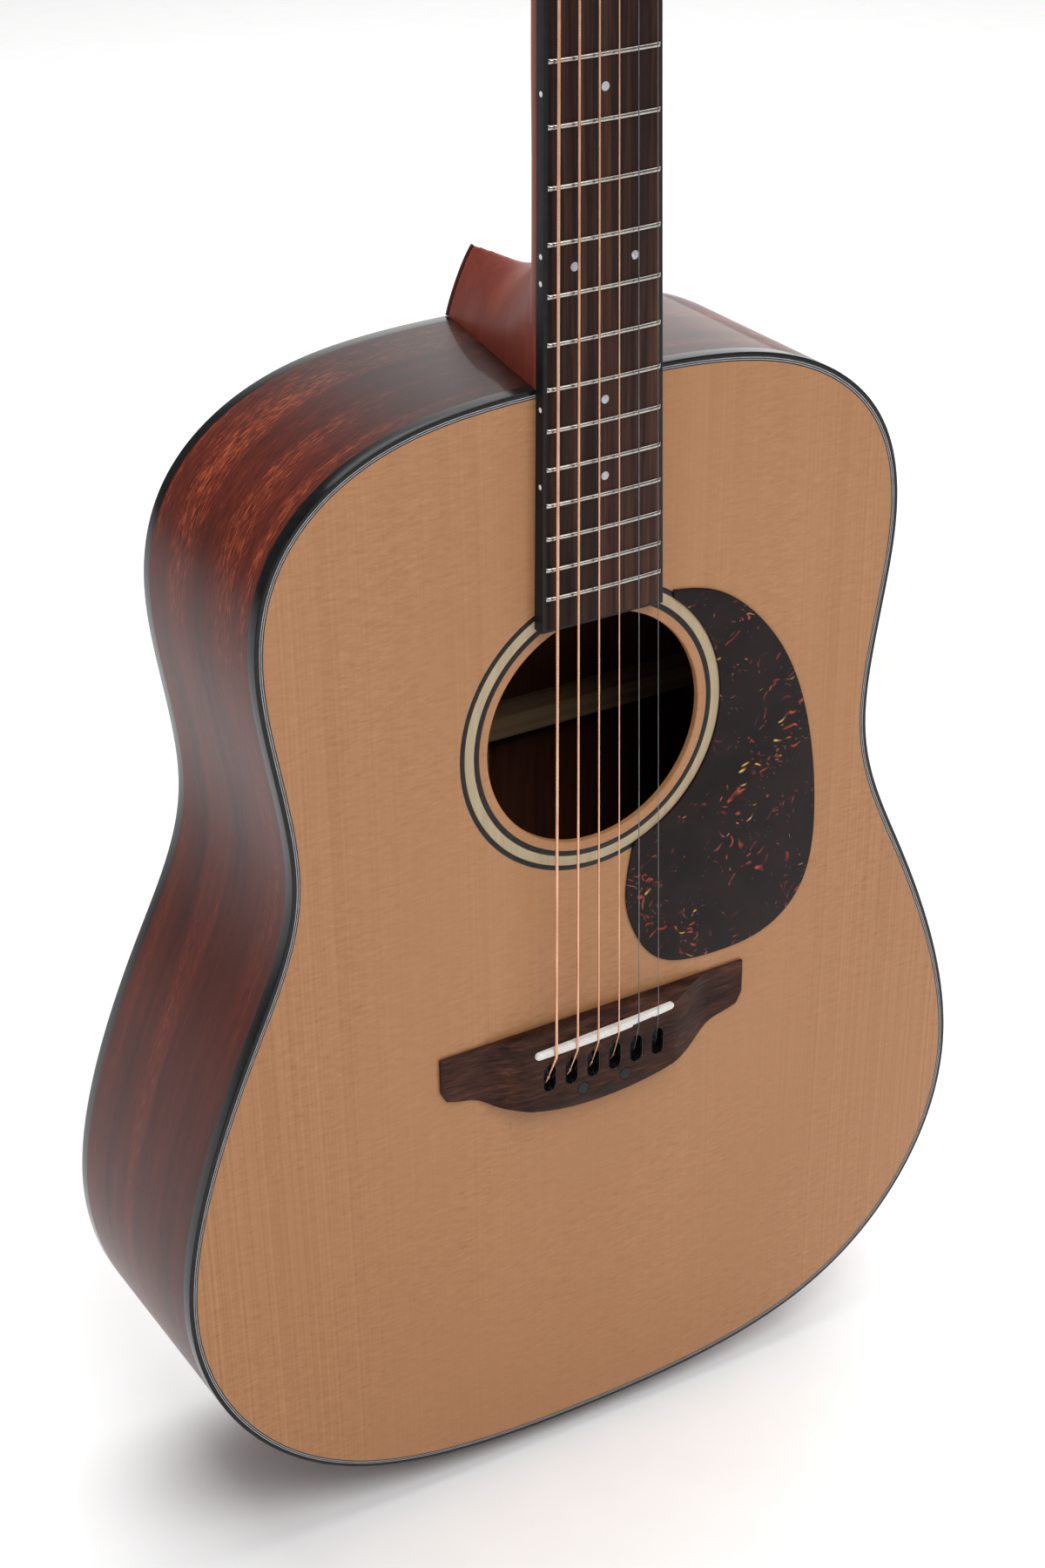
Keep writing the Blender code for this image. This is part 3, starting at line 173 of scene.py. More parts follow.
def make_studio():
    """White paper lit from above, a bright wall behind the guitar, and a dim room in front of it."""
    world = bpy.data.worlds.new("studio")
    bpy.context.scene.world = world
    world.use_nodes = True
    tree = world.node_tree
    backdrop = tree.nodes["Background"]
    backdrop.inputs["Color"].default_value = (1.0, 0.995, 0.985, 1)
    toward = tree.nodes.new("ShaderNodeTexCoord")
    rear = tree.nodes.new("ShaderNodeVectorMath")
    rear.operation = "DOT_PRODUCT"
    rear.inputs[1].default_value = (0.76, 0.65, 0.04)
    glow = tree.nodes.new("ShaderNodeMapRange")
    glow.interpolation_type = "SMOOTHSTEP"
    for key, value in (("From Min", 0.5), ("From Max", 1.0), ("To Min", 0.14), ("To Max", 2.1)):
        glow.inputs[key].default_value = value
    tree.links.new(toward.outputs["Generated"], rear.inputs[0])
    tree.links.new(rear.outputs["Value"], glow.inputs["Value"])
    tree.links.new(glow.outputs[0], backdrop.inputs["Strength"])
    bpy.context.scene.view_settings.view_transform = "Standard"
    area_light("front", (0.2, -1.9, 2.7), (0, 0, 0.25), (2.4, 1.8), 64)
    area_light("overhead", (0.70, 1.10, 3.0), (0.7, 1.1, 0), (3.6, 3.6), 104)
    area_light("left", (-2.4, -0.6, 1.2), (0, 0, 0.3), (1.2, 1.6), 9)
    look = Look("floor_paper", rough=0.9, specular=0.1)
    grain = look.noise((30, 30, 30), 3)
    look.colour(look.ramp(grain, (0.3, (0.94, 0.94, 0.94)), (0.7, (0.96, 0.96, 0.96))))
    reach = 12
    item = bpy.data.objects.new("floor", block((-reach, -reach, -0.02), (reach, reach, 0)))
    item.data.materials.append(look.material)
    bpy.context.scene.collection.objects.link(item)


# Materials -----------------------------------------------------------------------------------------

SOCKETS = {"rough": "Roughness", "metal": "Metallic", "coat": "Coat Weight", "coat_rough": "Coat Roughness",
           "specular": "Specular IOR Level"}


class Look:
    """A procedural material being built; each method adds a node and gives its output."""

    def __init__(self, name, **values):
        self.material = bpy.data.materials.new(name)
        self.material.use_nodes = True
        self.tree = self.material.node_tree
        self.shader = self.tree.nodes["Principled BSDF"]
        for key, value in values.items():
            self.shader.inputs[SOCKETS[key]].default_value = value

    def add(self, kind, inputs, output=0, **settings):
        node = self.tree.nodes.new(kind)
        for key, value in settings.items():
            setattr(node, key, value)
        for key, value in inputs.items():
            if isinstance(value, bpy.types.NodeSocket):
                self.tree.links.new(value, node.inputs[key])
            else:
                node.inputs[key].default_value = value
        return node.outputs[output]

    def where(self, grain=False):
        """The object's own position, or the one stored in the mesh: along the grain, then across it."""
        if grain:
            return self.add("ShaderNodeAttribute", {}, "Vector", attribute_name="grain")
        return self.add("ShaderNodeTexCoord", {}, "Object")

    def place(self, scale, source=None, turn=(0, 0, 0)):
        source = source or self.where()
        return self.add("ShaderNodeMapping", {"Vector": source, "Scale": scale, "Rotation": turn})

    def noise(self, scale, detail=2.0, rough=0.5, warp=0.0, source=None, turn=(0, 0, 0)):
        """Noise whose cells are 1 / scale long along each axis of the source."""
        vector = self.place(scale, source, turn)
        return self.add("ShaderNodeTexNoise", {"Vector": vector, "Scale": 1.0, "Detail": detail,
                                               "Roughness": rough, "Distortion": warp})

    def math(self, operation, a, b=0.0):
        return self.add("ShaderNodeMath", {0: a, 1: b}, operation=operation)

    def swing(self, value, weight, middle=0.5):
        """The value's departure from its middle, times a weight."""
        return self.math("MULTIPLY", self.math("SUBTRACT", value, middle), weight)

    def vector(self, operation, a, b=(0, 0, 0)):
        return self.add("ShaderNodeVectorMath", {0: a, 1: b}, operation=operation)

    def reach(self, position):
        """Distance from the middle along the first axis."""
        return self.math("ABSOLUTE", self.add("ShaderNodeSeparateXYZ", {"Vector": position}))

    def total(self, *terms):
        """0.5 plus each (value, weight) pair's departure from 0.5."""
        value = 0.5
        for term, weight in terms:
            part = self.add("ShaderNodeMath", {0: term, 1: weight, 2: -0.5 * weight}, operation="MULTIPLY_ADD")
            value = self.math("ADD", part, value)
        return value

    def ramp(self, value, *stops):
        node = self.tree.nodes.new("ShaderNodeValToRGB")
        self.tree.links.new(value, node.inputs[0])
        points = node.color_ramp.elements
        while len(points) < len(stops):
            points.new(0.5)
        for point, (position, colour) in zip(points, stops):
            point.position = position
            point.color = (*colour, 1)
        return node.outputs[0]

    def mask(self, value, low, high):
        """0 at low and 1 at high, and no further; high may be the smaller one."""
        return self.add("ShaderNodeMapRange", {"Value": value, "From Min": low, "From Max": high})

    def mix(self, share, a, b, mode="MIX"):
        node = self.tree.nodes.new("ShaderNodeMix")
        node.data_type = "RGBA"
        node.blend_type = mode
        for socket, value in ((node.inputs[0], share), (node.inputs[6], a), (node.inputs[7], b)):
            if isinstance(value, bpy.types.NodeSocket):
                self.tree.links.new(value, socket)
            else:
                socket.default_value = value if isinstance(value, float) else (*value, 1)
        return node.outputs[2]

    def colour(self, socket):
        self.tree.links.new(socket, self.shader.inputs["Base Color"])

    def vary(self, socket, value, low, high):
        """Let a shader input run from low to high as value runs from 0 to 1."""
        result = self.add("ShaderNodeMapRange", {"Value": value, "To Min": low, "To Max": high})
        self.tree.links.new(result, self.shader.inputs[SOCKETS[socket]])

    def bump(self, height, distance):
        normal = self.add("ShaderNodeBump", {"Height": height, "Distance": distance})
        self.tree.links.new(normal, self.shader.inputs["Normal"])


def spruce_look():
    """Lacquered soundboard: fine straight grain mirrored at the centre and short silky cross figure."""
    look = Look("spruce_lacquered", coat=0.12, coat_rough=0.14, specular=0.25)
    halves = look.vector("ABSOLUTE", look.where())
    sway = look.noise((9, 1, 3), 1, source=halves)
    drift = look.add("ShaderNodeCombineXYZ", {"X": look.math("MULTIPLY", sway, 0.004)})
    wood = look.vector("ADD", halves, drift)
    lines = look.noise((740, 1, 1.2), 0, source=wood)
    fine = look.noise((2100, 1, 14), 1, source=wood)
    bands = look.noise((30, 1, 0.5), 1, source=wood)
    silk = look.noise((150, 1, 620), 3, 0.62, 0.7, source=wood)
    patches = look.noise((15, 1, 9), 2)
    outer = look.mask(look.reach(look.where()), 0.085, 0.165)
    cloud = look.noise((6, 1, 3), 2)
    strong = look.total((look.mask(bands, 0.45, 0.75), 0.35), (outer, 0.75))
    ridges = look.swing(lines, strong)
    figure = look.swing(silk, look.mask(patches, 0.20, 0.65))
    value = look.math("ADD", look.total((fine, 0.14), (bands, 0.10), (cloud, 0.32), (lines, 0.07)),
                      look.math("ADD", look.math("MULTIPLY", ridges, 0.60), look.math("MULTIPLY", figure, 0.85)))
    look.colour(look.ramp(value, (0.15, (0.266, 0.115, 0.042)), (0.42, (0.368, 0.170, 0.071)),
                          (0.60, (0.410, 0.198, 0.086)), (0.9, (0.480, 0.253, 0.120))))
    look.vary("rough", silk, 0.32, 0.44)
    look.bump(look.total((lines, 0.5), (silk, 0.4)), 0.00002)
    return look.material


def ribbon_mahogany(name, tones, rough, coat, source):
    """Ribbon-striped mahogany: soft dark and light ribbons, short lively flecks, and dark pores.

    Along the sides the grain runs from the tail; one mask of reach livens and brightens the upper bout, and the other
    darkens the shoulder as painted shade.
    """
    look = Look(name, coat=coat, coat_rough=0.06, specular=0.07)
    base = look.where(source)
    ribbons = look.noise((2.4, 62, 1), 2, 0.5, 0.3, source=base)
    figure = look.noise((22, 210, 1), 3, 0.6, source=base)
    flecks = look.noise((150, 1500, 1), 3, 0.65, source=base, turn=(0, 0, 0.10))
    pores = look.mask(look.noise((210, 3000, 1), 2, 0.6, source=base), 0.58, 0.70)
    reach = look.reach(base)
    upper = look.mask(reach, 0.55, 0.61)
    lively = look.total((look.mask(ribbons, 0.40, 0.66), 0.8), (upper, 0.7))
    sparkle = look.swing(flecks, lively, 0.49)
    value = look.math("ADD", look.total((ribbons, 0.62), (figure, 0.36), (upper, 0.11)),
                      look.math("MULTIPLY", sparkle, 2.1))
    wood = look.ramp(value, *zip((0.22, 0.46, 0.66, 0.88), tones))
    wood = look.mix(look.math("MULTIPLY", pores, 0.55), wood, tones[0])
    # Painted shade: the colour is multiplied darker towards the shoulder near the neck, standing in for the little
    # light it gets.
    painted_shoulder_shade = look.mask(reach, 0.635, 0.70)
    look.colour(look.mix(painted_shoulder_shade, wood, (0.24, 0.29, 0.33), "MULTIPLY"))
    look.vary("rough", flecks, rough, rough + 0.14)
    look.bump(look.total((pores, -0.6), (flecks, 0.25)), 0.00002)
    return look.material


def neck_look():
    """Satin mahogany, plain grain along the neck with fine pores."""
    look = Look("mahogany_satin", specular=0.22)
    streaks = look.noise((150, 90, 5), 3, 0.55, 0.3)
    fine = look.noise((900, 700, 28), 2, 0.6)
    cloud = look.noise((18, 18, 9), 2)
    pores = look.mask(look.noise((2400, 2000, 95), 2, 0.6), 0.60, 0.72)
    wood = look.ramp(look.total((streaks, 0.7), (fine, 0.35), (cloud, 0.5)),
                     (0.2, (0.150, 0.024, 0.014)), (0.5, (0.235, 0.044, 0.026)), (0.8, (0.330, 0.078, 0.046)))
    look.colour(look.mix(look.math("MULTIPLY", pores, 0.5), wood, (0.080, 0.014, 0.010)))
    look.vary("rough", fine, 0.36, 0.50)
    look.bump(look.total((pores, -0.7), (fine, 0.2)), 0.00003)
    return look.material


def rosewood(name, scales, tones, rough):
    """Open-pored dark wood; scales are the fine, middle and broad grain along X, Y and Z."""
    look = Look(name, specular=0.12)
    fine, middle, broad = (look.noise(scale, 2, 0.6, 0.2) for scale in scales)
    pores = look.mask(fine, 0.60, 0.74)
    wood = look.ramp(look.total((middle, 0.95), (broad, 0.75), (fine, 0.35)), *zip((0.22, 0.45, 0.62, 0.86), tones))
    look.colour(look.mix(look.math("MULTIPLY", pores, 0.65), wood, tones[0]))
    look.vary("rough", middle, rough, rough + 0.16)
    look.bump(look.total((pores, -0.8), (middle, 0.15)), 0.00005)
    return look.material


def plastic_look(name, dark, light, rough, spread=0.08, coat=0.0):
    """Moulded plastic with faint mottling and fine rub marks."""
    look = Look(name, coat=coat, coat_rough=0.05, specular=0.2)
    mottle = look.noise((260, 260, 260), 3)
    rubs = look.noise((90, 90, 1400), 2, 0.6)
    look.colour(look.ramp(mottle, (0.3, dark), (0.7, light)))
    look.vary("rough", rubs, rough, rough + spread)
    look.bump(rubs, 0.000006)
    return look.material


def tortoise_look():
    """Near-black sheet with small red and amber flakes lying at all angles."""
    look = Look("tortoise_flakes", coat=0.12, coat_rough=0.06, specular=0.06)
    base = look.where()
    bend = look.add("ShaderNodeTexNoise", {"Vector": base, "Scale": 75.0, "Detail": 1.0}, "Color")
    shift = look.place((0.022, 0.022, 0.022), bend)
    bent = look.vector("ADD", shift, base)
    made = look.ramp(look.noise((60, 60, 60), 3), (0.3, (0.0075, 0.0045, 0.0048)), (0.7, (0.016, 0.008, 0.008)))
    # Scale, turn, where a flake is whole and where it ends, then its dark and light colours
    layers = (((110, 1, 330), 0.3, 0.15, 0.27, (0.26, 0.026, 0.016), (0.42, 0.065, 0.028)),
              ((380, 1, 150), 1.1, 0.13, 0.24, (0.20, 0.030, 0.022), (0.36, 0.075, 0.035)),
              ((90, 1, 260), 0.8, 0.10, 0.18, (0.50, 0.19, 0.035), (0.62, 0.38, 0.11)),
              ((460, 1, 460), 0.0, 0.12, 0.20, (0.10, 0.045, 0.035), (0.34, 0.15, 0.07)))
    for scale, angle, inner, outer, dark, light in layers:
        cells = look.add("ShaderNodeTexVoronoi", {"Vector": look.place(scale, bent, (0, angle, 0)), "Scale": 1.0,
                                                  "Randomness": 1.0}, "Distance")
        pick = look.noise((52 + 12 * angle, 1, 43), 2, 0.6, source=base)
        flake = look.math("MULTIPLY", look.mask(cells, outer, inner), look.mask(pick, 0.51, 0.60))
        tone = look.ramp(look.noise((300, 300, 300), 1), (0.4, dark), (0.6, light))
        made = look.mix(flake, made, tone)
    look.colour(made)
    look.vary("rough", look.noise((40, 40, 700), 2), 0.18, 0.30)
    look.bump(look.noise((22, 22, 22), 1), 0.00004)
    return look.material


def bone_look():
    look = Look("bone_polished", specular=0.4)
    cloud = look.noise((190, 190, 420), 3, 0.6)
    fine = look.noise((1500, 1500, 700), 2)
    look.colour(look.ramp(look.total((cloud, 0.9), (fine, 0.3)), (0.25, (0.60, 0.56, 0.52)),
                          (0.5, (0.70, 0.68, 0.65)), (0.8, (0.77, 0.76, 0.74))))
    look.vary("rough", cloud, 0.28, 0.42)
    look.bump(fine, 0.00001)
    return look.material


def pearl_look():
    look = Look("pearl_dots", coat=0.6, coat_rough=0.08)
    layers = look.noise((500, 500, 900), 2, 0.5, 1.2)
    look.colour(look.ramp(layers, (0.30, (0.30, 0.30, 0.34)), (0.45, (0.46, 0.44, 0.48)),
                          (0.55, (0.36, 0.40, 0.47)), (0.75, (0.58, 0.56, 0.60))))
    look.vary("rough", layers, 0.15, 0.35)
    return look.material


def metal_look(name, dark, light, rough, spread, scale, relief=0.0):
    """Worked metal: fine brushing along the piece and slight clouding of the polish."""
    look = Look(name, metal=1.0)
    brush = look.noise(scale, 2, 0.6)
    cloud = look.noise((120, 120, 120), 2)
    look.colour(look.ramp(look.total((brush, 0.5), (cloud, 0.6)), (0.3, dark), (0.7, light)))
    look.vary("rough", look.total((brush, 0.6), (cloud, 0.6)), rough, rough + spread)
    if relief:
        look.bump(brush, relief)
    return look.material


def winding_look():
    """Bronze wire wound closely round a core: bands across the string, darkened between the turns as painted groove
    shade, with tarnish.
    """
    look = Look("bronze_wound_painted_groove_shade", metal=1.0)
    turns = look.add("ShaderNodeTexWave", {"Vector": look.place((1, 1, 1)), "Scale": 620.0}, "Fac",
                     bands_direction="Z", wave_profile="SIN")
    tarnish = look.noise((220, 220, 60), 3, 0.6)
    # Painted shade: the colour bands follow the wire turns and darken each groove between them; the same bands also
    # give the bump.
    look.colour(look.ramp(look.total((turns, 0.5), (tarnish, 0.7)), (0.2, (0.50, 0.235, 0.125)),
                          (0.5, (0.78, 0.43, 0.27)), (0.85, (0.92, 0.60, 0.43))))
    look.vary("rough", tarnish, 0.26, 0.42)
    look.bump(turns, 0.00003)
    return look.material


def raw_wood(name, tones, along):
    """Unfinished wood inside the body; along is the axis of its grain."""
    look = Look(name, rough=0.7, specular=0.25)
    fine = look.noise([6 if axis == along else 340 for axis in range(3)], 3, 0.6)
    broad = look.noise([2 if axis == along else 60 for axis in range(3)], 2)
    look.colour(look.ramp(look.total((fine, 0.8), (broad, 0.6)), *zip((0.25, 0.5, 0.8), tones)))
    look.vary("rough", fine, 0.6, 0.8)
    look.bump(fine, 0.00006)
    return look.material


# Meshes --------------------------------------------------------------------------------------------

class Shape:
    """A mesh being built from rings of points."""

    def __init__(self):
        self.points, self.faces, self.grain = [], [], []

    def ring(self, points):
        first = len(self.points)
        self.points.extend(tuple(map(float, point)) for point in points)
        return list(range(first, len(self.points)))

    def join(self, a, b):
        for i in range(len(a)):
            j = (i + 1) % len(a)
            self.faces.append((a[i], a[j], b[j], b[i]))

    def fill(self, *rings):
        """Close the flat upright area inside the first ring and outside the others."""
        loops = [[Vector((self.points[i][0], self.points[i][2], 0)) for i in ring] for ring in rings]
        flat = [i for ring in rings for i in ring]
        self.faces.extend(tuple(flat[i] for i in triangle) for triangle in tessellate_polygon(loops))

    def loft(self, rings, caps=True):
        made = [self.ring(ring) for ring in rings]
        for a, b in zip(made, made[1:]):
            self.join(a, b)
        if caps:
            self.faces.append(tuple(made[0]))
            self.faces.append(tuple(made[-1]))
        return made

    def mesh(self, matrix=None):
        mesh = bpy.data.meshes.new("shape")
        mesh.from_pydata(self.points, [], self.faces)
        if matrix is not None:
            mesh.transform(matrix)
        tidy_normals(mesh)
        if self.grain:
            stored = mesh.attributes.new("grain", "FLOAT_VECTOR", "POINT")
            stored.data.foreach_set("vector", np.array(self.grain, np.float32).ravel())
        return mesh


def lofted(rings, matrix=None):
    """A closed mesh through a row of rings."""
    shape = Shape()
    shape.loft(rings)
    return shape.mesh(matrix)


def tidy_normals(mesh, sharp=35):
    """Turn the faces outwards and shade them smooth, except across edges sharper than the angle in degrees."""
    work = bmesh.new()
    work.from_mesh(mesh)
    bmesh.ops.recalc_face_normals(work, faces=work.faces)
    work.to_mesh(mesh)
    work.free()
    mesh.shade_smooth()
    mesh.set_sharp_from_angle(angle=math.radians(sharp))


def piece(name, mesh, look, slot, *replaced, body="guitar"):
    """Put a mesh on a body; look is the key of its material, or a pair of keys."""
    mesh.name = name
    item = bpy.data.objects.new(name, mesh)
    bpy.context.scene.collection.objects.link(item)
    for key in look if isinstance(look, tuple) else (look,):
        mesh.materials.append(looks[key])
    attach(item, body)
    if replaced:
        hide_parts(*replaced)


def evaluated(mesh, prepare):
    """The mesh after the modifiers that prepare() gives to an object holding it."""
    item = bpy.data.objects.new("work", mesh)
    bpy.context.scene.collection.objects.link(item)
    tools = prepare(item) or []
    bpy.context.view_layer.update()
    made = bpy.data.meshes.new_from_object(item.evaluated_get(bpy.context.evaluated_depsgraph_get()))
    for used in [item, *tools]:
        data = used.data
        bpy.data.objects.remove(used)
        bpy.data.meshes.remove(data)
    made.materials.clear()
    return made


def modify(item, kind, **settings):
    step = item.modifiers.new(kind, kind)
    for key, value in settings.items():
        setattr(step, key, value)


def carve(mesh, *cuts):
    """Apply (operation, tool mesh) booleans in turn."""
    def prepare(item):
        tools = []
        for operation, tool in cuts:
            holder = bpy.data.objects.new("tool", tool)
            bpy.context.scene.collection.objects.link(holder)
            holder.hide_render = True
            modify(item, "BOOLEAN", operation=operation, object=holder, solver="EXACT")
            tools.append(holder)
        return tools
    return evaluated(mesh, prepare)


def remeshed(mesh, size):
    return evaluated(mesh, lambda item: modify(item, "REMESH", mode="VOXEL", voxel_size=size))


def softened(mesh, width, segments):
    made = evaluated(mesh, lambda item: modify(item, "BEVEL", width=width, segments=segments, limit_method="ANGLE",
                                               angle_limit=math.radians(40)))
    tidy_normals(made)
    return made


def relax(mesh, weight, rounds):
    """Move each point towards the middle of its neighbours; weight(points) gives 0 to 1."""
    count = len(mesh.vertices)
    points = np.empty(count * 3)
    mesh.vertices.foreach_get("co", points)
    points = points.reshape(-1, 3)
    ends = np.empty(len(mesh.edges) * 2, int)
    mesh.edges.foreach_get("vertices", ends)
    a, b = ends.reshape(-1, 2).T
    neighbours = (np.bincount(a, minlength=count) + np.bincount(b, minlength=count))[:, None]
    pull = 0.5 * weight(points)[:, None]
    for _ in range(rounds):
        total = np.stack([np.bincount(a, points[b, k], count) + np.bincount(b, points[a, k], count)
                          for k in range(3)], axis=1)
        points += pull * (total / neighbours - points)
    mesh.vertices.foreach_set("co", points.ravel())


def everywhere(points):
    return np.ones(len(points))


def merged(meshes):
    work = bmesh.new()
    for mesh in meshes:
        work.from_mesh(mesh)
    made = bpy.data.meshes.new("merged")
    work.to_mesh(made)
    work.free()
    return made


def prism(outline, levels, matrix=None):
    """The same (x, y) outline at each level of Z."""
    return lofted([[(x, y, z) for x, y in outline] for z in levels], matrix)


def block(low, high, matrix=None):
    (x0, y0, z0), (x1, y1, z1) = low, high
    return prism(((x0, y0), (x1, y0), (x1, y1), (x0, y1)), (z0, z1), matrix)


def turned(profile, sides=48, matrix=None):
    """A shape of revolution about Z from (radius, height) pairs; end radii may be 0."""
    return lofted([[(x, y, z) for x, y in circle(max(r, 1e-6), count=sides)] for r, z in profile], matrix)


def circle(radius, centre=(0, 0), count=160):
    return [(centre[0] + radius * math.cos(a), centre[1] + radius * math.sin(a))
            for a in 2 * np.pi * np.arange(count) / count]


def corner_arc(radius, steps):
    """How deep a rounded corner lies inside each of its two faces, from the second face to the first."""
    turns = [math.pi / 2 * k / steps for k in range(steps + 1)]
    return [(radius * (1 - math.sin(t)), radius * (1 - math.cos(t))) for t in turns]


def stadium(width, length, centre):
    radius, rise, count = width / 2, (length - width) / 2, 12
    half = [math.pi * i / count for i in range(count + 1)]
    top = [(centre[0] + radius * math.cos(a), centre[1] + rise + radius * math.sin(a)) for a in half]
    low = [(centre[0] - radius * math.cos(a), centre[1] - rise - radius * math.sin(a)) for a in half]
    return top + low


def outwards(loop):
    """Unit normals of a closed loop of (x, z) points, away from its inside."""
    loop = np.array(loop)
    ahead = np.roll(loop, -1, axis=0) - np.roll(loop, 1, axis=0)
    ahead /= np.linalg.norm(ahead, axis=1)[:, None]
    area = np.sum(loop[:, 0] * np.roll(loop[:, 1], -1) - np.roll(loop[:, 0], -1) * loop[:, 1])
    return np.column_stack((ahead[:, 1], -ahead[:, 0])) * (1 if area > 0 else -1)


def rounded_plate(loops, front, thickness, edge, steps, matrix=None):
    """An upright plate with rounded edges; the first loop is its outline, the others are holes."""
    shape = Shape()
    front_rings, back_rings = [], []
    rows = [(inset, front + deep) for inset, deep in corner_arc(edge, steps)]
    rows += [(inset, 2 * front + thickness - y) for inset, y in reversed(rows)]
    for number, loop in enumerate(loops):
        away = outwards(loop) * (1 if number == 0 else -1)
        rings = []
        for inset, y in rows:
            rings.append([(x - inset * ax, y, z - inset * az) for (x, z), (ax, az) in zip(loop, away)])
        made = shape.loft(rings, caps=False)
        front_rings.append(made[0])
        back_rings.append(made[-1])
    shape.fill(*front_rings)
    shape.fill(*back_rings)
    return shape.mesh(matrix)


def smooth_curve(points, per_span, closed=False):
    """A cubic spline through the points, with centripetal spacing so that it does not overshoot."""
    points = np.array(points, dtype=float)
    spans = len(points) if closed else len(points) - 1
    ends = np.roll(points, -1, axis=0)[:spans]
    starts = points[:spans]
    step = np.sqrt(np.linalg.norm(ends - starts, axis=1))
    slope = (ends - starts) / step[:, None]
    system = np.eye(len(points))
    right = np.zeros_like(points)
    for i in range(0 if closed else 1, spans):
        before, after = step[i - 1], step[i]
        system[i] = 0
        system[i][i - 1] = before
        system[i][i] = 2 * (before + after)
        system[i][(i + 1) % len(points)] = after
        right[i] = 6 * (slope[i] - slope[i - 1])
    bend = np.linalg.solve(system, right)
    curve = []
    for i in range(spans):
        j = (i + 1) % len(points)
        for t in np.arange(per_span) / per_span:
            cubic = ((1 - t) ** 3 - (1 - t)) * bend[i] + (t ** 3 - t) * bend[j]
            curve.append((1 - t) * points[i] + t * points[j] + step[i] ** 2 / 6 * cubic)
    if not closed:
        curve.append(points[-1])
    return np.array(curve)


# The body's outline --------------------------------------------------------------------------------

def measure_outline():
    """Half outline from the tail to the neck as rows of arc length, x, z and the outward normal."""
    per_span = 40
    lower = [(-x, z) for x, z in OUTLINE[-2:0:-1]]
    whole = smooth_curve(list(OUTLINE) + lower, per_span, closed=True)
    ahead = np.roll(whole, -1, axis=0) - np.roll(whole, 1, axis=0)
    ahead /= np.linalg.norm(ahead, axis=1)[:, None]
    count = (len(OUTLINE) - 1) * per_span + 1
    half, ahead = whole[:count], ahead[:count]
    along = np.append(0, np.cumsum(np.linalg.norm(np.diff(half, axis=0), axis=1)))
    return np.column_stack((along, half[:, 0], half[:, 1] + PIN_REACH, ahead[:, 1], -ahead[:, 0]))


def edge_point(along, inset=0.0):
    x, z, out_x, out_z = (np.interp(abs(along), edge[:, 0], edge[:, k]) for k in range(1, 5))
    return (math.copysign(x - inset * out_x, along), z - inset * out_z)


def edge_loop(inset, count=480):
    return [edge_point(s, inset) for s in np.linspace(-edge[-1, 0], edge[-1, 0], count, endpoint=False)]


def edge_depth(z):
    return HEEL_DEPTH + (TAIL_DEPTH - HEEL_DEPTH) * (1 - ((z - PIN_REACH) / BODY_LENGTH) ** 2)


def from_front(depth):
    return lambda z: FRONT_Y + depth


def from_back(depth):
    return lambda z: FRONT_Y + edge_depth(z) - depth


def rail(section, start, end, count):
    """Sweep (inset, level) corners along the edge; the stored grain is the distance along it, then the depth."""
    shape = Shape()
    rings = []
    for along in np.linspace(start, end, count):
        places = [edge_point(along, inset) for inset, _ in section]
        ring = [(x, level(z), z) for (x, z), (_, level) in zip(places, section)]
        rings.append(ring)
        shape.grain += [(along, y, 0) for _, y, _ in ring]
    shape.loft(rings)
    return shape.mesh()


def dome(depth):
    def level(x, width, z):
        return FRONT_Y + edge_depth(z) - depth + (width ** 2 - x ** 2) / (2 * BACK_DOME_RADIUS)
    return level


# Soundbox ------------------------------------------------------------------------------------------

def make_soundboard():
    """The top with its groove for the rosette and a softened soundhole rim."""
    shape = Shape()
    back = FRONT_Y + TOP_THICKNESS
    outline = edge_loop(PURFLING_WIDTH)
    rim = 0.0007
    rows = [(ROSETTE_OUTER, 0), (ROSETTE_OUTER, ROSETTE_DEPTH), (ROSETTE_INNER, ROSETTE_DEPTH), (ROSETTE_INNER, 0)]
    rows += [(HOLE_RADIUS + inset, deep) for inset, deep in corner_arc(rim, 5)]
    rows += [(HOLE_RADIUS, TOP_THICKNESS)]
    rings = [[(x, FRONT_Y + depth, z) for x, z in circle(radius, (0, HOLE_Z))] for radius, depth in rows]
    made = shape.loft(rings, caps=False)
    front_edge = shape.ring([(x, FRONT_Y, z) for x, z in outline])
    back_edge = shape.ring([(x, back, z) for x, z in outline])
    shape.join(front_edge, back_edge)
    shape.fill(front_edge, made[0])
    shape.fill(back_edge, made[-1])
    piece("soundboard_top", shape.mesh(), "spruce", "spruce_top", "soundboard")


def ring_band(inner, outer):
    proud, gap = 0.00002, 0.0001
    loops = [circle(radius, (0, HOLE_Z)) for radius in (outer, inner)]
    return rounded_plate(loops, FRONT_Y - proud, ROSETTE_DEPTH - gap, 0.00008, 2)


def make_rosette():
    cream_inner, cream_outer = 0.0570, 0.0613
    piece("rosette_cream", ring_band(cream_inner, cream_outer), "cream", "rosette_inlay", "rosette")
    for name, inner, outer in (("inner", ROSETTE_INNER, cream_inner), ("outer", cream_outer, ROSETTE_OUTER)):
        piece(f"rosette_black_{name}", ring_band(inner, outer), "black_strip", "black_binding")


def edge_strip(level, start, end):
    """Binding of one edge, with its outer corner rounded; level turns a depth into a place."""
    section = [(BINDING_WIDTH, level(BINDING_HEIGHT)), (0, level(BINDING_HEIGHT))]
    section += [(inset, level(depth)) for depth, inset in corner_arc(0.0006, 4)]
    return rail(section + [(BINDING_WIDTH, level(0))], start, end, EDGE_STEPS)


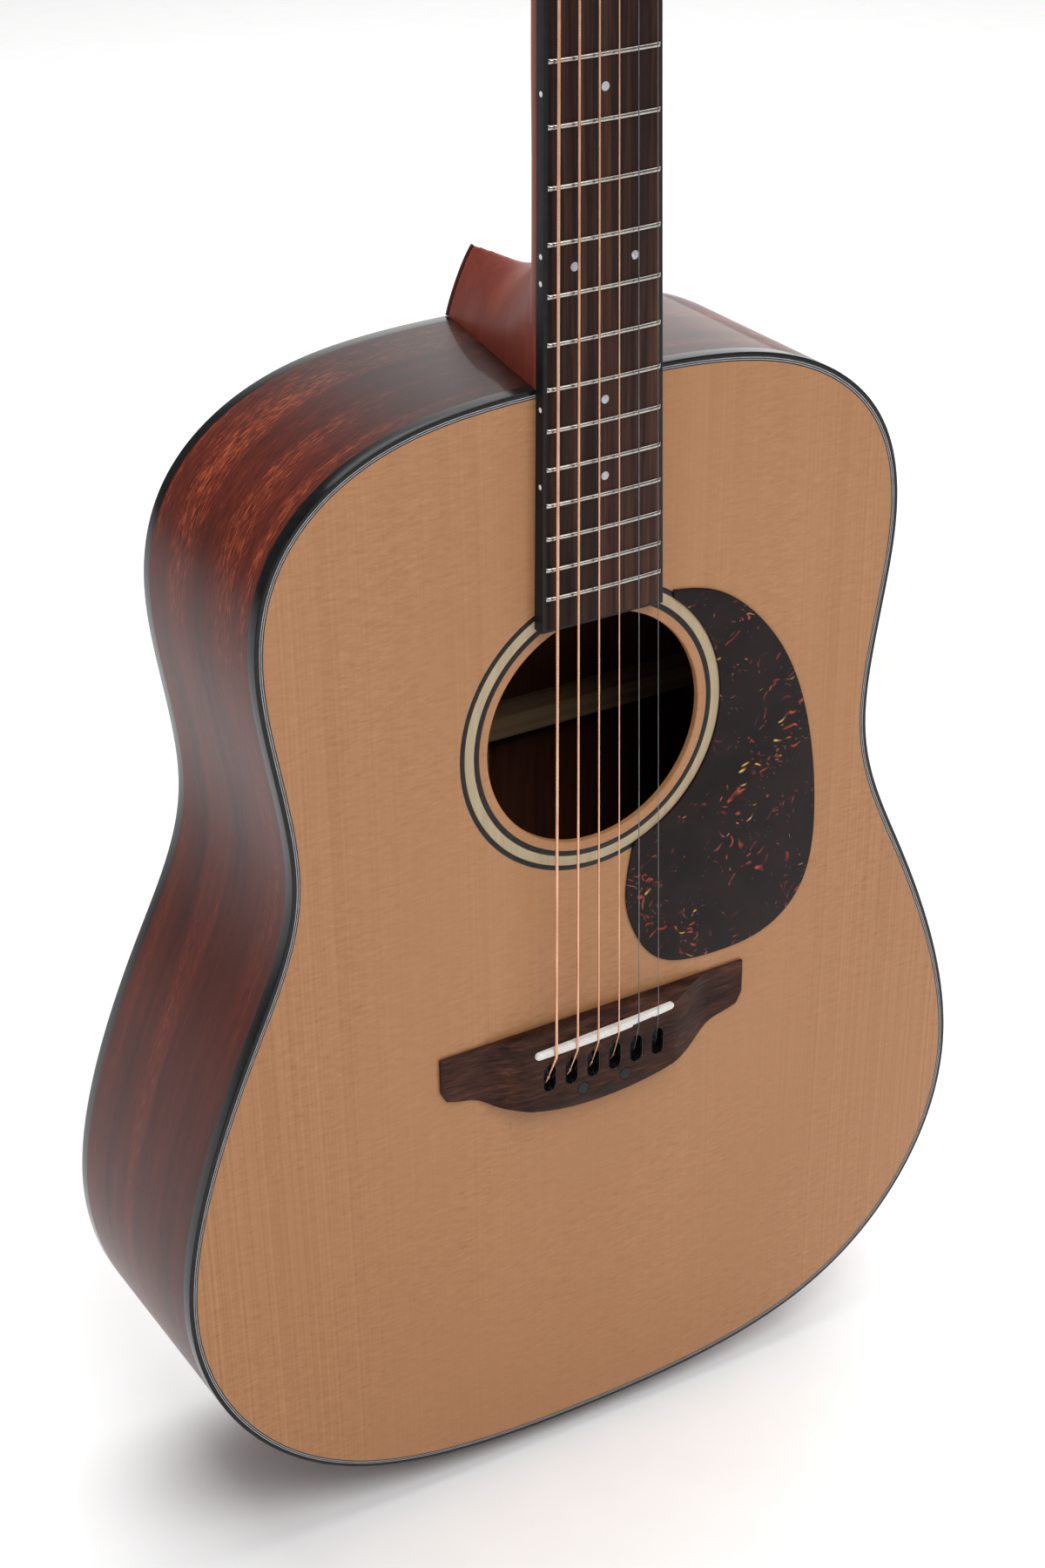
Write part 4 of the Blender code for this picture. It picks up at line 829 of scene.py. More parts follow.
def make_edges():
    """Binding and purfling round the top, and binding round the back."""
    half = edge[-1, 0]
    stop = half - BINDING_STOP
    piece("binding_top_strip", edge_strip(from_front, -stop, stop), "binding", "black_binding", "binding_top")
    bounds = np.array((0, 0.0003, 0.0008, 0.0011, 0.0016)) + BINDING_WIDTH
    kinds = ("white_outer", "black_middle", "white_inner", "black_inner")
    for kind, inner, outer in zip(kinds, bounds, bounds[1:]):
        section = [(inner, from_front(0)), (outer, from_front(0)), (outer, from_front(PURFLING_DEPTH)),
                   (inner, from_front(PURFLING_DEPTH))]
        look, slot = ("white_strip", "rosette_inlay") if "white" in kind else ("black_strip", "black_binding")
        piece(f"purfling_{kind}", rail(section, -stop, stop, EDGE_STEPS), look, slot)
    piece("binding_back_strip", edge_strip(from_back, -half, half), "binding", "black_binding", "binding_back")


def mark_inside(mesh, ring, first, last):
    """Give the second material to the faces whose place in their ring lies from first to last."""
    place = np.arange(len(mesh.polygons)) % ring
    mesh.polygons.foreach_set("material_index", ((place >= first) & (place <= last)).astype(int))


def make_sides():
    half = edge[-1, 0]
    near, far = from_front(BINDING_HEIGHT), from_back(BINDING_HEIGHT)
    section = [(0, near), (0, far), (SIDE_THICKNESS, far), (SIDE_THICKNESS, near)]
    gap = 0.0095
    for name, start, end in (("treble", 0.0, half - gap), ("bass", gap - half, 0.0)):
        mesh = rail(section, start, end, 300)
        mark_inside(mesh, len(section), 2, 2)
        piece(f"side_{name}_wood", mesh, ("side", "side_inside"), "mahogany_body", f"side_{name}")


def make_back():
    shape = Shape()
    half, rows, columns = edge[-1, 0], 240, 24
    rings = []
    shares = np.linspace(-1, 1, columns + 1)
    for i in range(1, rows):
        width, z = edge_point(half * i / rows, BINDING_WIDTH)
        outer = [(width * share, dome(0)(width * share, width, z), z) for share in shares]
        inner = [(width * share, dome(BACK_THICKNESS)(width * share, width, z), z) for share in reversed(shares)]
        rings.append(outer + inner)
        shape.grain += [(z, abs(x) + 0.4, 0) for x, _, _ in outer + inner]
    shape.loft(rings)
    mesh = shape.mesh()
    count = 2 * (columns + 1)
    mark_inside(mesh, count, columns + 1, count)
    piece("back_plate_wood", mesh, ("side", "side_inside"), "mahogany_body", "back_plate")


def make_linings():
    """Kerfed strips: saw cuts every few millimetres leave a thin spine along the side."""
    reach = edge[-1, 0] - 0.036
    pitch, cut, spine = 0.0085, 0.0009, 0.0011
    outer = SIDE_THICKNESS + GLUE
    for name, level, start in (("top", from_front, TOP_THICKNESS + GLUE), ("back", from_back, BACK_THICKNESS + GLUE)):
        rings = []
        for k in range(int(2 * reach / pitch)):
            here = -reach + k * pitch
            for along, deep in ((here, 1), (here + pitch - cut, 1), (here + pitch - cut, 0), (here + pitch, 0)):
                wide = LINING_WIDTH if deep else spine
                slim = LINING_WIDTH / 3 if deep else spine
                section = ((outer, start), (outer + wide, start), (outer + slim, start + LINING_HEIGHT),
                           (outer, start + LINING_HEIGHT))
                ring = []
                for inset, depth in section:
                    x, z = edge_point(along, inset)
                    ring.append((x, level(depth)(z), z))
                rings.append(ring)
        piece(f"kerfed_lining_{name}", lofted(rings), "raw_spruce_z", "inside_wood", f"lining_{name}")


def make_pickguard():
    guard = ((0.0368, 0.4105), (0.061, 0.404), (0.0905, 0.3755), (0.107, 0.337), (0.1135, 0.293),
             (0.109, 0.2545), (0.090, 0.236), (0.060, 0.232), (0.032, 0.239), (0.018, 0.261),
             (0.0155, 0.277), (0.0186, 0.2975))
    rim = [(x, z + PIN_REACH) for x, z in smooth_curve(guard, 12)]
    radius = 0.0614
    first = math.atan2(rim[-1][1] - HOLE_Z, rim[-1][0])
    last = math.atan2(rim[0][1] - HOLE_Z, rim[0][0])
    rim += [(radius * math.cos(a), HOLE_Z + radius * math.sin(a)) for a in np.linspace(first, last, 60)[1:-1]]
    thickness = 0.0010
    mesh = rounded_plate([rim], FRONT_Y - thickness, thickness, 0.0004, 4)
    piece("pickguard_sheet", mesh, "tortoise", "tortoise_sheet", "pickguard")


def make_end_pin():
    profile = [(0, 0.031), (0.0034, 0.031), (0.0038, PIN_REACH), (0.0066, PIN_REACH), (0.0068, 0.0112)]
    profile += [(0.0068, 0.0098), (0.0060, 0.0090), (0.0046, 0.0084), (0.0042, 0.0074), (0.0042, 0.0062),
                (0.0047, 0.0050), (0.0062, 0.0041), (0.0068, 0.0034), (0.0068, 0.0014), (0.0065, 0.0006),
                (0.0058, 0.0001), (0.0050, 0), (0, 0)]
    piece("end_pin_turned", turned(profile), "plastic", "black_plastic", "end_pin")


# Bridge --------------------------------------------------------------------------------------------

def bridge_outline():
    belly = [(-0.0747, 0.2015), (-0.0690, 0.1998), (-0.0620, 0.1981), (-0.0560, 0.1947), (-0.0505, 0.1912),
             (-0.0440, 0.1888), (-0.0355, 0.1861), (-0.0270, 0.1835), (-0.0150, 0.1808), (0, 0.1795)]
    belly += [(-x, z) for x, z in reversed(belly[:-1])]
    lower = [(x, z + PIN_REACH) for x, z in smooth_curve(belly, 6)]
    tip, corner = 0.0775, PIN_REACH + 0.2070
    return lower + [(tip, corner), (tip, BRIDGE_TOP_Z), (-tip, BRIDGE_TOP_Z), (-tip, corner)]


def plain_plate(loop, front, thickness):
    """An upright plate with square edges, as a blank or a cutter."""
    return rounded_plate([loop], front, thickness, 0.0, 1)


def make_bridge():
    top = FRONT_Y - BRIDGE_HEIGHT
    slab = plain_plate(bridge_outline(), FRONT_Y - 0.02, 0.02)
    thin = 0.0018
    reach, slope_foot, slope_head = 0.078, 0.0590, 0.0355
    half = [(reach, -0.001)]
    for x in np.linspace(reach, 0.035, 29):
        half.append((x, thin + (BRIDGE_HEIGHT - thin) * step_between(-x, -slope_foot, -slope_head)))
    ends = [(x, FRONT_Y - h) for x, h in half] + [(-x, FRONT_Y - h) for x, h in reversed(half)]
    profile = prism(ends, (PIN_REACH + 0.15, PIN_REACH + 0.25))
    across = [(-0.001, -0.001), (-0.001, 0.0015)]
    for share in np.linspace(0, 1, 12):
        across.append((0.0055 * share, 0.0015 + (BRIDGE_HEIGHT - 0.0015) * math.sqrt(1 - (1 - share) ** 2)))
    for share in np.linspace(0, 1, 9):
        across.append((0.0367 + 0.0093 * share, BRIDGE_HEIGHT - 0.0039 * share ** 1.4))
    across.append((0.046, -0.001))
    rounding = lofted([[(x, FRONT_Y - h, BRIDGE_TOP_Z - down) for down, h in across] for x in (-0.1, 0.1)])
    cuts = [("INTERSECT", profile), ("INTERSECT", rounding)]
    slots = [(SLOT_SPACING * (i - 2.5), SLOT_Z) for i in range(6)]
    plugs = {name: circle(PLUG_RADIUS, (side * PLUG_PLACE[0], PLUG_PLACE[1]), 40)
             for side, name in ((-1, "bass"), (1, "treble"))}
    spare = 0.01
    for centre in slots:
        loop = stadium(SLOT_WIDTH, SLOT_LENGTH, centre)
        cuts.append(("DIFFERENCE", plain_plate(loop, top - spare, spare + SLOT_DEPTH)))
    for loop in plugs.values():
        cuts.append(("DIFFERENCE", plain_plate(loop, top - spare, spare + 0.002)))
    voxel = 0.00042
    body = remeshed(carve(slab, *cuts), voxel)
    relax(body, everywhere, 4)
    tidy_normals(body, 50)
    piece("bridge_wood", body, "bridge", "rosewood", "bridge")
    wall, bowl = 0.00035, 0.0016
    for i, centre in enumerate(slots):
        rows = [(0, SLOT_DEPTH), (0, 0.0002), (wall / 2, 0.00015), (wall, 0.0004), (wall, SLOT_DEPTH - bowl),
                (wall + bowl / 4, SLOT_DEPTH - bowl / 3), (wall + bowl, SLOT_DEPTH - wall)]
        rings = []
        for inset, depth in rows:
            loop = stadium(SLOT_WIDTH - 2 * inset, SLOT_LENGTH - 2 * inset, centre)
            rings.append([(x, top + depth, z) for x, z in loop])
        piece(f"slot_lining_{6 - i}", lofted(rings), "gloss_black", "black_plastic")
    for name, loop in plugs.items():
        mesh = rounded_plate([loop], top + 0.0001, 0.0019, 0.0004, 4)
        piece(f"bridge_plug_{name}_button", mesh, "plastic", "black_plastic", f"bridge_plug_{name}")
    make_saddle()


def crown(x):
    return x ** 2 / (2 * BOARD_CROWN_RADIUS)


def make_saddle():
    """A bone bar with rounded ends and top, stepped back under the second string and half as far under the first."""
    sunk, step_back = 0.003, 0.0008
    half_length, half_thick = SADDLE_LENGTH / 2, SADDLE_THICKNESS / 2
    bottom = FRONT_Y - BRIDGE_HEIGHT + sunk
    rings = []
    for t in np.linspace(-1, 1, 241):
        x = half_length * t
        end = half_length - abs(x)
        narrow = math.sqrt(max(1 - (1 - min(end / half_thick, 1)) ** 2, 0.002))
        front = FRONT_Y - SADDLE_HEIGHT + crown(x) + 0.0006 * (1 - narrow)
        cut = step_back * (step_between(t, 0.350, 0.365) - 0.5 * step_between(t, 0.675, 0.690))
        above, below = half_thick * narrow, -half_thick * narrow + min(cut, half_thick * narrow)
        soft = min(0.0007, (above - below) * 0.45)
        arc = corner_arc(soft, 5)
        rings.append([(x, bottom, below), (x, bottom, above)] + [(x, front + down, above - back) for down, back in arc]
                     + [(x, front + down, below + back) for down, back in reversed(arc)])
    matrix = Matrix.Translation((0, 0, SADDLE_CENTRE_Z)) @ Matrix.Rotation(-SADDLE_TILT, 4, "Y")
    piece("saddle_bone", lofted(rings, matrix), "bone", "bone", "saddle")


def step_between(value, low, high):
    share = min(max((value - low) / (high - low), 0), 1)
    return share * share * (3 - 2 * share)


# Neck ----------------------------------------------------------------------------------------------

def neck_face(z):
    return FRONT_Y + NECK_SLOPE * (z - JOINT_Z)


def fret_height_z(number):
    return NUT_Z - SCALE_LENGTH * (1 - 2 ** (-number / 12))


def board_half_width(z):
    share = (NUT_Z - z) / (NUT_Z - fret_height_z(14))
    return NUT_HALF_WIDTH + (JOINT_HALF_WIDTH - NUT_HALF_WIDTH) * share


def board_back(z):
    return neck_face(z) if z > JOINT_Z else FRONT_Y


def board_front(z, x=0.0):
    return neck_face(z) - BOARD_THICKNESS + crown(x)


def make_fingerboard():
    shares = np.linspace(1, -1, 25)
    rings = []
    for z in (BOARD_END_Z + BOARD_EDGING, JOINT_Z, JOINT_Z + 0.0005, NUT_Z):
        width = board_half_width(z) - BOARD_EDGING
        rings.append([(-width, board_back(z), z), (width, board_back(z), z)]
                     + [(width * s, board_front(z, width * s), z) for s in shares])
    piece("fingerboard_wood", lofted(rings), "board", "rosewood", "fingerboard")


def make_frets():
    for number in range(1, FRETS + 1):
        centre = fret_height_z(number)
        half = board_half_width(centre) - BOARD_EDGING + 0.0001
        rings = []
        bevel = 0.0009
        ends = [(half, 0.30), (half - bevel * 0.35, 0.62), (half - bevel, 1.0)]
        rows = [(-x, rise) for x, rise in ends] + [(x, 1.0) for x in np.linspace(-half + 0.003, half - 0.003, 9)]
        rows += [(x, rise) for x, rise in reversed(ends)]
        for x, rise in rows:
            ring = []
            for k in range(11):
                turn = math.pi * k / 10
                ring.append((x, board_front(centre, x) - FRET_HEIGHT * rise * math.sin(turn) ** 0.8,
                             centre + FRET_WIDTH / 2 * math.cos(turn)))
            ring += [(x, board_front(centre, x) + 0.0004, centre + way * FRET_WIDTH / 2) for way in (-1, 1)]
            rings.append(ring)
        piece(f"fret_{number:02d}", lofted(rings), "nickel", "steel")


def make_dots():
    """Pearl dots in the board and small white dots on its bass edge."""
    places = [(number, 0.0) for number in (3, 5, 7, 9, 15, 17)] + [(12, -0.5), (12, 0.5)]
    for index, (number, share) in enumerate(sorted(places), start=1):
        z = (fret_height_z(number) + fret_height_z(number - 1)) / 2
        x = share * 2 * 0.0131
        radius, proud = 0.0017, 0.00004
        mesh = rounded_plate([circle(radius, (x, z), 36)], board_front(z, x) - proud, 0.0012, 0.00008, 2)
        piece(f"pearl_dot_{index}", mesh, "pearl", "rosette_inlay")
        side_z = z + 0.0100 * share
        place = (-board_half_width(side_z) + 0.0009, neck_face(z) - BOARD_THICKNESS / 2, side_z)
        matrix = Matrix.Translation(place) @ Matrix.Rotation(-math.pi / 2, 4, "Y")
        profile = [(0, 0), (0.00105, 0), (0.00105, 0.00090), (0.00095, 0.00096), (0, 0.00098)]
        piece(f"side_dot_{index}", turned(profile, 24, matrix), "white_dot", "rosette_inlay")


def make_board_binding():
    """A strip down both edges of the board and across its end, with a softened outer corner."""
    ends = [(board_half_width(z), z) for z in (NUT_Z, JOINT_Z, BOARD_END_Z)]
    outer = [(-x, z) for x, z in ends] + ends[::-1]
    inner = [(-x + BOARD_EDGING, z) for x, z in ends]
    inner[-1] = (inner[-1][0], BOARD_END_Z + BOARD_EDGING)
    inner += [(-x, z) for x, z in reversed(inner)]
    rings = []
    for (ox, oz), (ix, iz) in zip(outer, inner):
        front = board_front(oz, ox)
        rows = [(1, board_back(oz)), (0, board_back(oz))]
        rows += [(inset / BOARD_EDGING, front + deep) for deep, inset in corner_arc(0.0004, 3)]
        rows.append((1, board_front(oz, ix)))
        rings.append([(ox + (ix - ox) * t, y, oz + (iz - oz) * t) for t, y in rows])
    piece("board_edging", lofted(rings), "edging", "black_binding", "fingerboard_binding")


def string_x(number, spacing):
    return (3.5 - number) * spacing


def make_nut():
    """A bone nut with a sloping top and a round slot for each string."""
    rings = []
    back = neck_face(NUT_Z)
    raised = 0.0005
    xs = set(np.linspace(-NUT_HALF_WIDTH, NUT_HALF_WIDTH, 61).round(6))
    for number, radius in enumerate(STRING_RADII, start=1):
        xs.update((string_x(number, STRING_SPACING_NUT) + np.linspace(-1.3, 1.3, 9) * radius).round(6))
    for x in sorted(xs):
        top = board_front(NUT_Z, x) - NUT_HEIGHT
        rise = raised
        for number, radius in enumerate(STRING_RADII, start=1):
            off = abs(x - string_x(number, STRING_SPACING_NUT))
            if off < 1.2 * radius:
                rise = min(rise, radius * (1.2 - math.sqrt(max(1.44 - (off / radius) ** 2, 0))))
        edge_drop = 0.0004 * max(abs(x) / NUT_HALF_WIDTH - 0.96, 0) / 0.04
        front = top - rise + edge_drop
        rings.append([(x, back, NUT_Z), (x, front + 0.0003, NUT_Z), (x, front, NUT_Z + 0.0004),
                      (x, front + 0.0003, NUT_Z + NUT_THICKNESS - 0.0006), (x, front + 0.0009, NUT_Z + NUT_THICKNESS),
                      (x, back, NUT_Z + NUT_THICKNESS)])
    piece("nut_bone", lofted(rings), "bone", "bone", "nut")


def neck_depth(z):
    return 0.0146 + 0.0026 * (NUT_Z - z) / (NUT_Z - JOINT_Z)


def head_half_width(up):
    flare = min(max((up - 0.002) / 0.024, 0), 1)
    return 0.0216 + 0.0077 * flare ** 2 * (3 - 2 * flare) + 0.04 * max(up - 0.014, 0)


def head_outline(low):
    rises = [low] + [0.002 + 0.001 * i for i in range(25)] + [0.04, 0.08, 0.12, HEAD_LENGTH - 0.004]
    side = [(head_half_width(up), up) for up in rises]
    widest = side[-1][0]
    top = [(0.985 * widest * s, HEAD_LENGTH + 0.004 * (1 - s ** 2)) for s in np.linspace(1, -1, 21)]
    return side + top + [(-x, up) for x, up in reversed(side)]


def cutter(outline):
    """A block with the given (y, z) outline, wider than the neck."""
    reach = 0.08
    return lofted([[(x, y, z) for y, z in outline] for x in (-reach, reach)])


def post_holes():
    return merged([turned([(BUSH_RADIUS, -0.03), (BUSH_RADIUS, 0.01)], 40,
                          HEAD_FRAME @ Matrix.Translation((side * across, up, 0)))
                   for side in (1, -1) for across, up in TUNER_PLACES])


def heel_arch(deep, width, height):
    """The heel's outline at one depth; it grows more pointed towards the cap."""
    point = deep / HEEL_SLICES[-1][0]
    arch = []
    for a in np.linspace(0, math.pi, 41):
        across, up = math.cos(a), max(math.sin(a), 0)
        x = width * math.copysign(abs(across) ** (1 + 0.7 * point), across)
        arch.append((x, JOINT_Z + height * up ** (0.8 + 0.9 * point ** 2)))
    return arch


def make_neck():
    """Shaft, heel and head carved from one blank, with blended hollows between them."""
    spare = 0.001
    top = NUT_Z + NECK_RUN_OUT
    shape = Shape()
    shaft = []
    for z in np.linspace(JOINT_Z - 0.012, top, 50):
        width, deep, face = board_half_width(z), neck_depth(z), neck_face(z)
        ring = [(width * math.cos(a), face + deep * math.sin(a) ** 0.9, z) for a in np.linspace(0, math.pi, 41)]
        shaft.append(ring + [(-width, face - spare, z), (width, face - spare, z)])
    shape.loft(shaft)
    heel = []
    for deep, width, height in smooth_curve(HEEL_SLICES, 8):
        ring = [(-width, JOINT_Z - 0.010), (width, JOINT_Z - 0.010)] + heel_arch(deep, width, height)
        heel.append([(x, FRONT_Y + deep, z) for x, z in ring])
    shape.loft(heel)
    head = head_outline(-0.006)
    shape.loft([[HEAD_FRAME @ Vector((x, up, level)) for x, up in head] for level in (-HEAD_THICKNESS, spare)])
    blank = remeshed(shape.mesh(), 0.0007)
    relax(blank, everywhere, 3)

    def hollows(points):
        up = points[:, 2] - JOINT_Z
        deep = points[:, 1] - FRONT_Y - NECK_SLOPE * up
        inside = np.clip((deep - 0.003) / 0.005, 0, 1) * np.clip((0.086 - deep) / 0.006, 0, 1)
        heel_zone = np.clip((up - 0.030) / 0.012, 0, 1) * np.clip((0.115 - up) / 0.03, 0, 1)
        above = points[:, 2] - NUT_Z
        head_zone = np.clip((above + 0.025) / 0.012, 0, 1) * np.clip((0.030 - above) / 0.012, 0, 1)
        return inside * np.maximum(heel_zone, head_zone)
    relax(blank, hollows, 160)
    low = JOINT_Z - 0.03
    fold = HEAD_FRAME @ Vector((0, 0, -VENEER))
    tip = HEAD_FRAME @ Vector((0, HEAD_LENGTH + 0.02, -VENEER))
    front = [(neck_face(low), low), (neck_face(top), top), (fold.y, fold.z), (tip.y, tip.z), (tip.y - 0.1, tip.z),
             (neck_face(low) - 0.1, low)]
    body = plain_plate(edge_loop(0.0008, 240), -0.2, 0.4)
    mesh = carve(blank, *(("DIFFERENCE", tool) for tool in (body, cutter(front), post_holes())))
    tidy_normals(mesh, 50)
    piece("neck_wood", mesh, "neck", "mahogany_neck", "neck")


def make_heel_cap():
    deep, width, height = HEEL_SLICES[-1]
    arch = heel_arch(deep, width, height)
    loop = [(-width, JOINT_Z + 0.0002), (width, JOINT_Z + 0.0002)] + arch[1:-1]
    mesh = rounded_plate([loop], FRONT_Y + deep, 0.0021, 0.0003, 3)
    piece("heel_cap_plate", mesh, "cap", "mahogany_neck", "heel_cap")


def make_veneer():
    upright = Matrix((Vector((1, 0, 0)), -HEAD_NORMAL, HEAD_UP)).transposed().to_4x4()
    upright.translation = HEAD_BASE
    holes = [circle(BUSH_RADIUS, (side * across, up), 40) for side in (1, -1) for across, up in TUNER_PLACES]
    mesh = rounded_plate([head_outline(0.0003)] + holes, 0, VENEER, 0.0002, 2, upright)
    piece("head_veneer_plate", mesh, "veneer", "rosewood", "headstock_veneer")


def make_truss_nut():
    """A hexagon-socket nut at the end of the truss rod."""
    up = Vector((0, NECK_SLOPE, 1)).normalized()
    matrix = up.to_track_quat("Z", "Y").to_matrix().to_4x4()
    matrix.translation = Vector((0, FRONT_Y + TRUSS_ROD_DEPTH + NECK_SLOPE * (TRUSS_NUT_Z - JOINT_Z), TRUSS_NUT_Z))
    radius, soft, socket = TRUSS_NUT_RADIUS, 0.0005, 0.0022
    rows = [(circle(r, count=48), z) for r, z in ((radius - soft, TRUSS_NUT_LENGTH), (radius, TRUSS_NUT_LENGTH - soft),
                                                  (radius, soft), (radius - soft, 0))]
    rows += [(hexagon_loop(socket), z) for z in (0, 0.007)]
    mesh = lofted([[(x, y, z) for x, y in loop] for loop, z in rows], matrix)
    piece("truss_nut_turned", mesh, "steel", "steel", "truss_rod_nut", body="truss_rod_nut")


# Tuners --------------------------------------------------------------------------------------------

ACROSS = Matrix.Rotation(math.pi / 2, 4, "Y")
WORM_PLACE = Matrix.Translation((0, WORM_OFFSET, GEAR_LEVEL))


def tuner_frame(side, across, up):
    return HEAD_FRAME @ Matrix.Translation((side * across, up, -HEAD_THICKNESS - GLUE))


def gear_loop():
    """Rounded gear teeth; one tooth points straight down, into the worm."""
    count = 112
    loop = []
    for i in range(count):
        phase = (i / count * GEAR_TEETH) % 1
        away = abs(phase - round(phase))
        lift = min(max((0.24 - away) / 0.17, 0), 1)
        radius = GEAR_RADIUS - 0.0008 + 0.00125 * lift
        angle = -math.pi / 2 + 2 * math.pi * i / count
        loop.append((radius * math.cos(angle), radius * math.sin(angle)))
    return loop


def knob_mesh():
    """Button, shaft and worm in one turned piece along X."""
    pitch = 2 * math.pi * GEAR_RADIUS / GEAR_TEETH
    sides, per_turn = 32, 16
    root, rise = WORM_RADIUS - 0.0007, 0.00125
    rings = [(-0.0062, SHAFT_RADIUS, SHAFT_RADIUS, 0)]
    rings += [(pitch * (i / per_turn - WORM_TURNS / 2), root, root, rise) for i in range(per_turn * WORM_TURNS + 1)]
    rings += [(0.0048, SHAFT_RADIUS, SHAFT_RADIUS, 0), (0.0121, SHAFT_RADIUS, SHAFT_RADIUS, 0),
              (0.0122, 0.0027, 0.0027, 0), (0.0124, 0.0030, 0.0030, 0), (0.0140, 0.0030, 0.0030, 0)]
    button = ((0.0142, 0.0031, 0.0030), (0.0160, 0.0064, 0.0036), (0.0200, 0.0091, 0.0040),
              (0.0262, 0.0092, 0.0040), (0.0300, 0.0071, 0.0034), (0.0310, 0.0045, 0.0022), (0.0312, 0.0012, 0.0006))
    rings += [(*row, 0) for row in smooth_curve(button, 6)]
    loops = []
    for out, tall, thick, thread in rings:
        loop = []
        for i in range(sides):
            angle = 2 * math.pi * i / sides
            phase = out / pitch - 0.5 - i / sides
            lift = thread * min(max((0.24 - abs(phase - round(phase))) / 0.15, 0), 1)
            loop.append((out, (tall + lift) * math.cos(angle), (thick + lift) * math.sin(angle)))
        loops.append(loop)
    return lofted(loops)


def post_mesh():
    """String post with a chamfered top, two turned grooves and a string hole, on its gear."""
    low, high = -0.0085, HEAD_THICKNESS + 0.019
    groove = 0.00025
    profile = [(0, low), (POST_RADIUS - 0.0004, low), (POST_RADIUS, low + 0.0004), (POST_RADIUS, high - 0.0034)]
    for down in (0.0032, 0.0020):
        profile += [(POST_RADIUS, high - down), (POST_RADIUS - groove, high - down + groove),
                    (POST_RADIUS, high - down + 2 * groove)]
    profile += [(POST_RADIUS, high - 0.0006), (POST_RADIUS - 0.0006, high), (0, high + 0.0001)]
    level = GEAR_LEVEL - GEAR_THICKNESS / 2
    gear = prism(gear_loop(), (level, level + GEAR_THICKNESS))
    hole = turned([(0.0009, -0.01), (0.0009, 0.01)], 24,
                  Matrix.Translation((0, 0, HEAD_THICKNESS + 0.0123)) @ ACROSS)
    mesh = carve(turned(profile), ("UNION", gear), ("DIFFERENCE", hole))
    tidy_normals(mesh)
    return mesh


def housing_mesh():
    """A closed die-cast gear case with a fixing tab, and the threaded bush through the head."""
    wall = HOUSING_WALL
    reach, below, above, deep = 0.0070, HOUSING_LOW, 0.0070, -0.0089
    case = softened(block((-reach - wall, below - wall, deep - wall), (reach + wall, above + wall, 0)), 0.0016, 4)
    tab = softened(block((-0.0030, below - wall - 0.0055, -TAB_THICKNESS), (0.0030, below, 0)), 0.0011, 3)
    front = HEAD_THICKNESS + GLUE
    bush = turned([(BUSH_RADIUS, -0.0006), (BUSH_RADIUS, front + 0.0026), (BUSH_RADIUS - 0.0004, front + 0.0030)])
    hollow = block((-reach, below, deep), (reach, above, -wall))
    bore = turned([(POST_RADIUS + 0.00045, -0.004), (POST_RADIUS + 0.00045, front + 0.02)])
    outlet_place = WORM_PLACE @ ACROSS
    collar = turned([(0.0027, reach - 0.0005), (0.0027, reach + wall + 0.0012), (0.0023, reach + wall + 0.0018)], 40,
                    outlet_place)
    outlet = turned([(SHAFT_RADIUS + 0.0004, 0), (SHAFT_RADIUS + 0.0004, 0.02)], 40, outlet_place)
    mesh = carve(case, ("UNION", tab), ("UNION", bush), ("UNION", collar), ("DIFFERENCE", hollow),
                 ("DIFFERENCE", bore), ("DIFFERENCE", outlet))
    tidy_normals(mesh)
    return mesh


def annulus(loop_points, inner, low, high, soft):
    """A flat ring about Z between an outline and a round hole, with a softened upper edge."""
    count = len(loop_points)
    hole = circle(inner, (0, 0), count)
    shape = Shape()
    rows = [(loop_points, 1, low), (loop_points, 1, high - soft), (loop_points, 1 - soft / 0.006, high),
            (hole, 1, high), (hole, 1, low)]
    made = shape.loft([[(x * scale, y * scale, z) for x, y in loop] for loop, scale, z in rows], caps=False)
    shape.join(made[-1], made[0])
    return shape.mesh()


def hexagon_loop(radius):
    """A hexagon with its corners on a circle of the radius, as 48 points."""
    count = 48
    loop = []
    for i in range(count):
        angle = 2 * math.pi * i / count
        reach = radius * math.cos(math.pi / 6) / math.cos((angle + math.pi / 6) % (math.pi / 3) - math.pi / 6)
        loop.append((reach * math.cos(angle), reach * math.sin(angle)))
    return loop


def screw_mesh():
    """A small domed cross-head screw on the housing's tab."""
    rings = [(0.0019, 0), (0.0019, -0.0003), (0.0016, -0.0008), (0.0010, -0.0011), (0, -0.0012)]
    place = Matrix.Translation((0, HOUSING_LOW - HOUSING_WALL - 0.0028, -TAB_THICKNESS))
    head = turned(rings, 32, place)
    arm = 0.0011
    cross = [("DIFFERENCE", block((-arm, -0.0002, -0.002), (arm, 0.0002, -0.0006), place)),
             ("DIFFERENCE", block((-0.0002, -arm, -0.002), (0.0002, arm, -0.0006), place))]
    mesh = carve(head, *cross)
    tidy_normals(mesh)
    return mesh


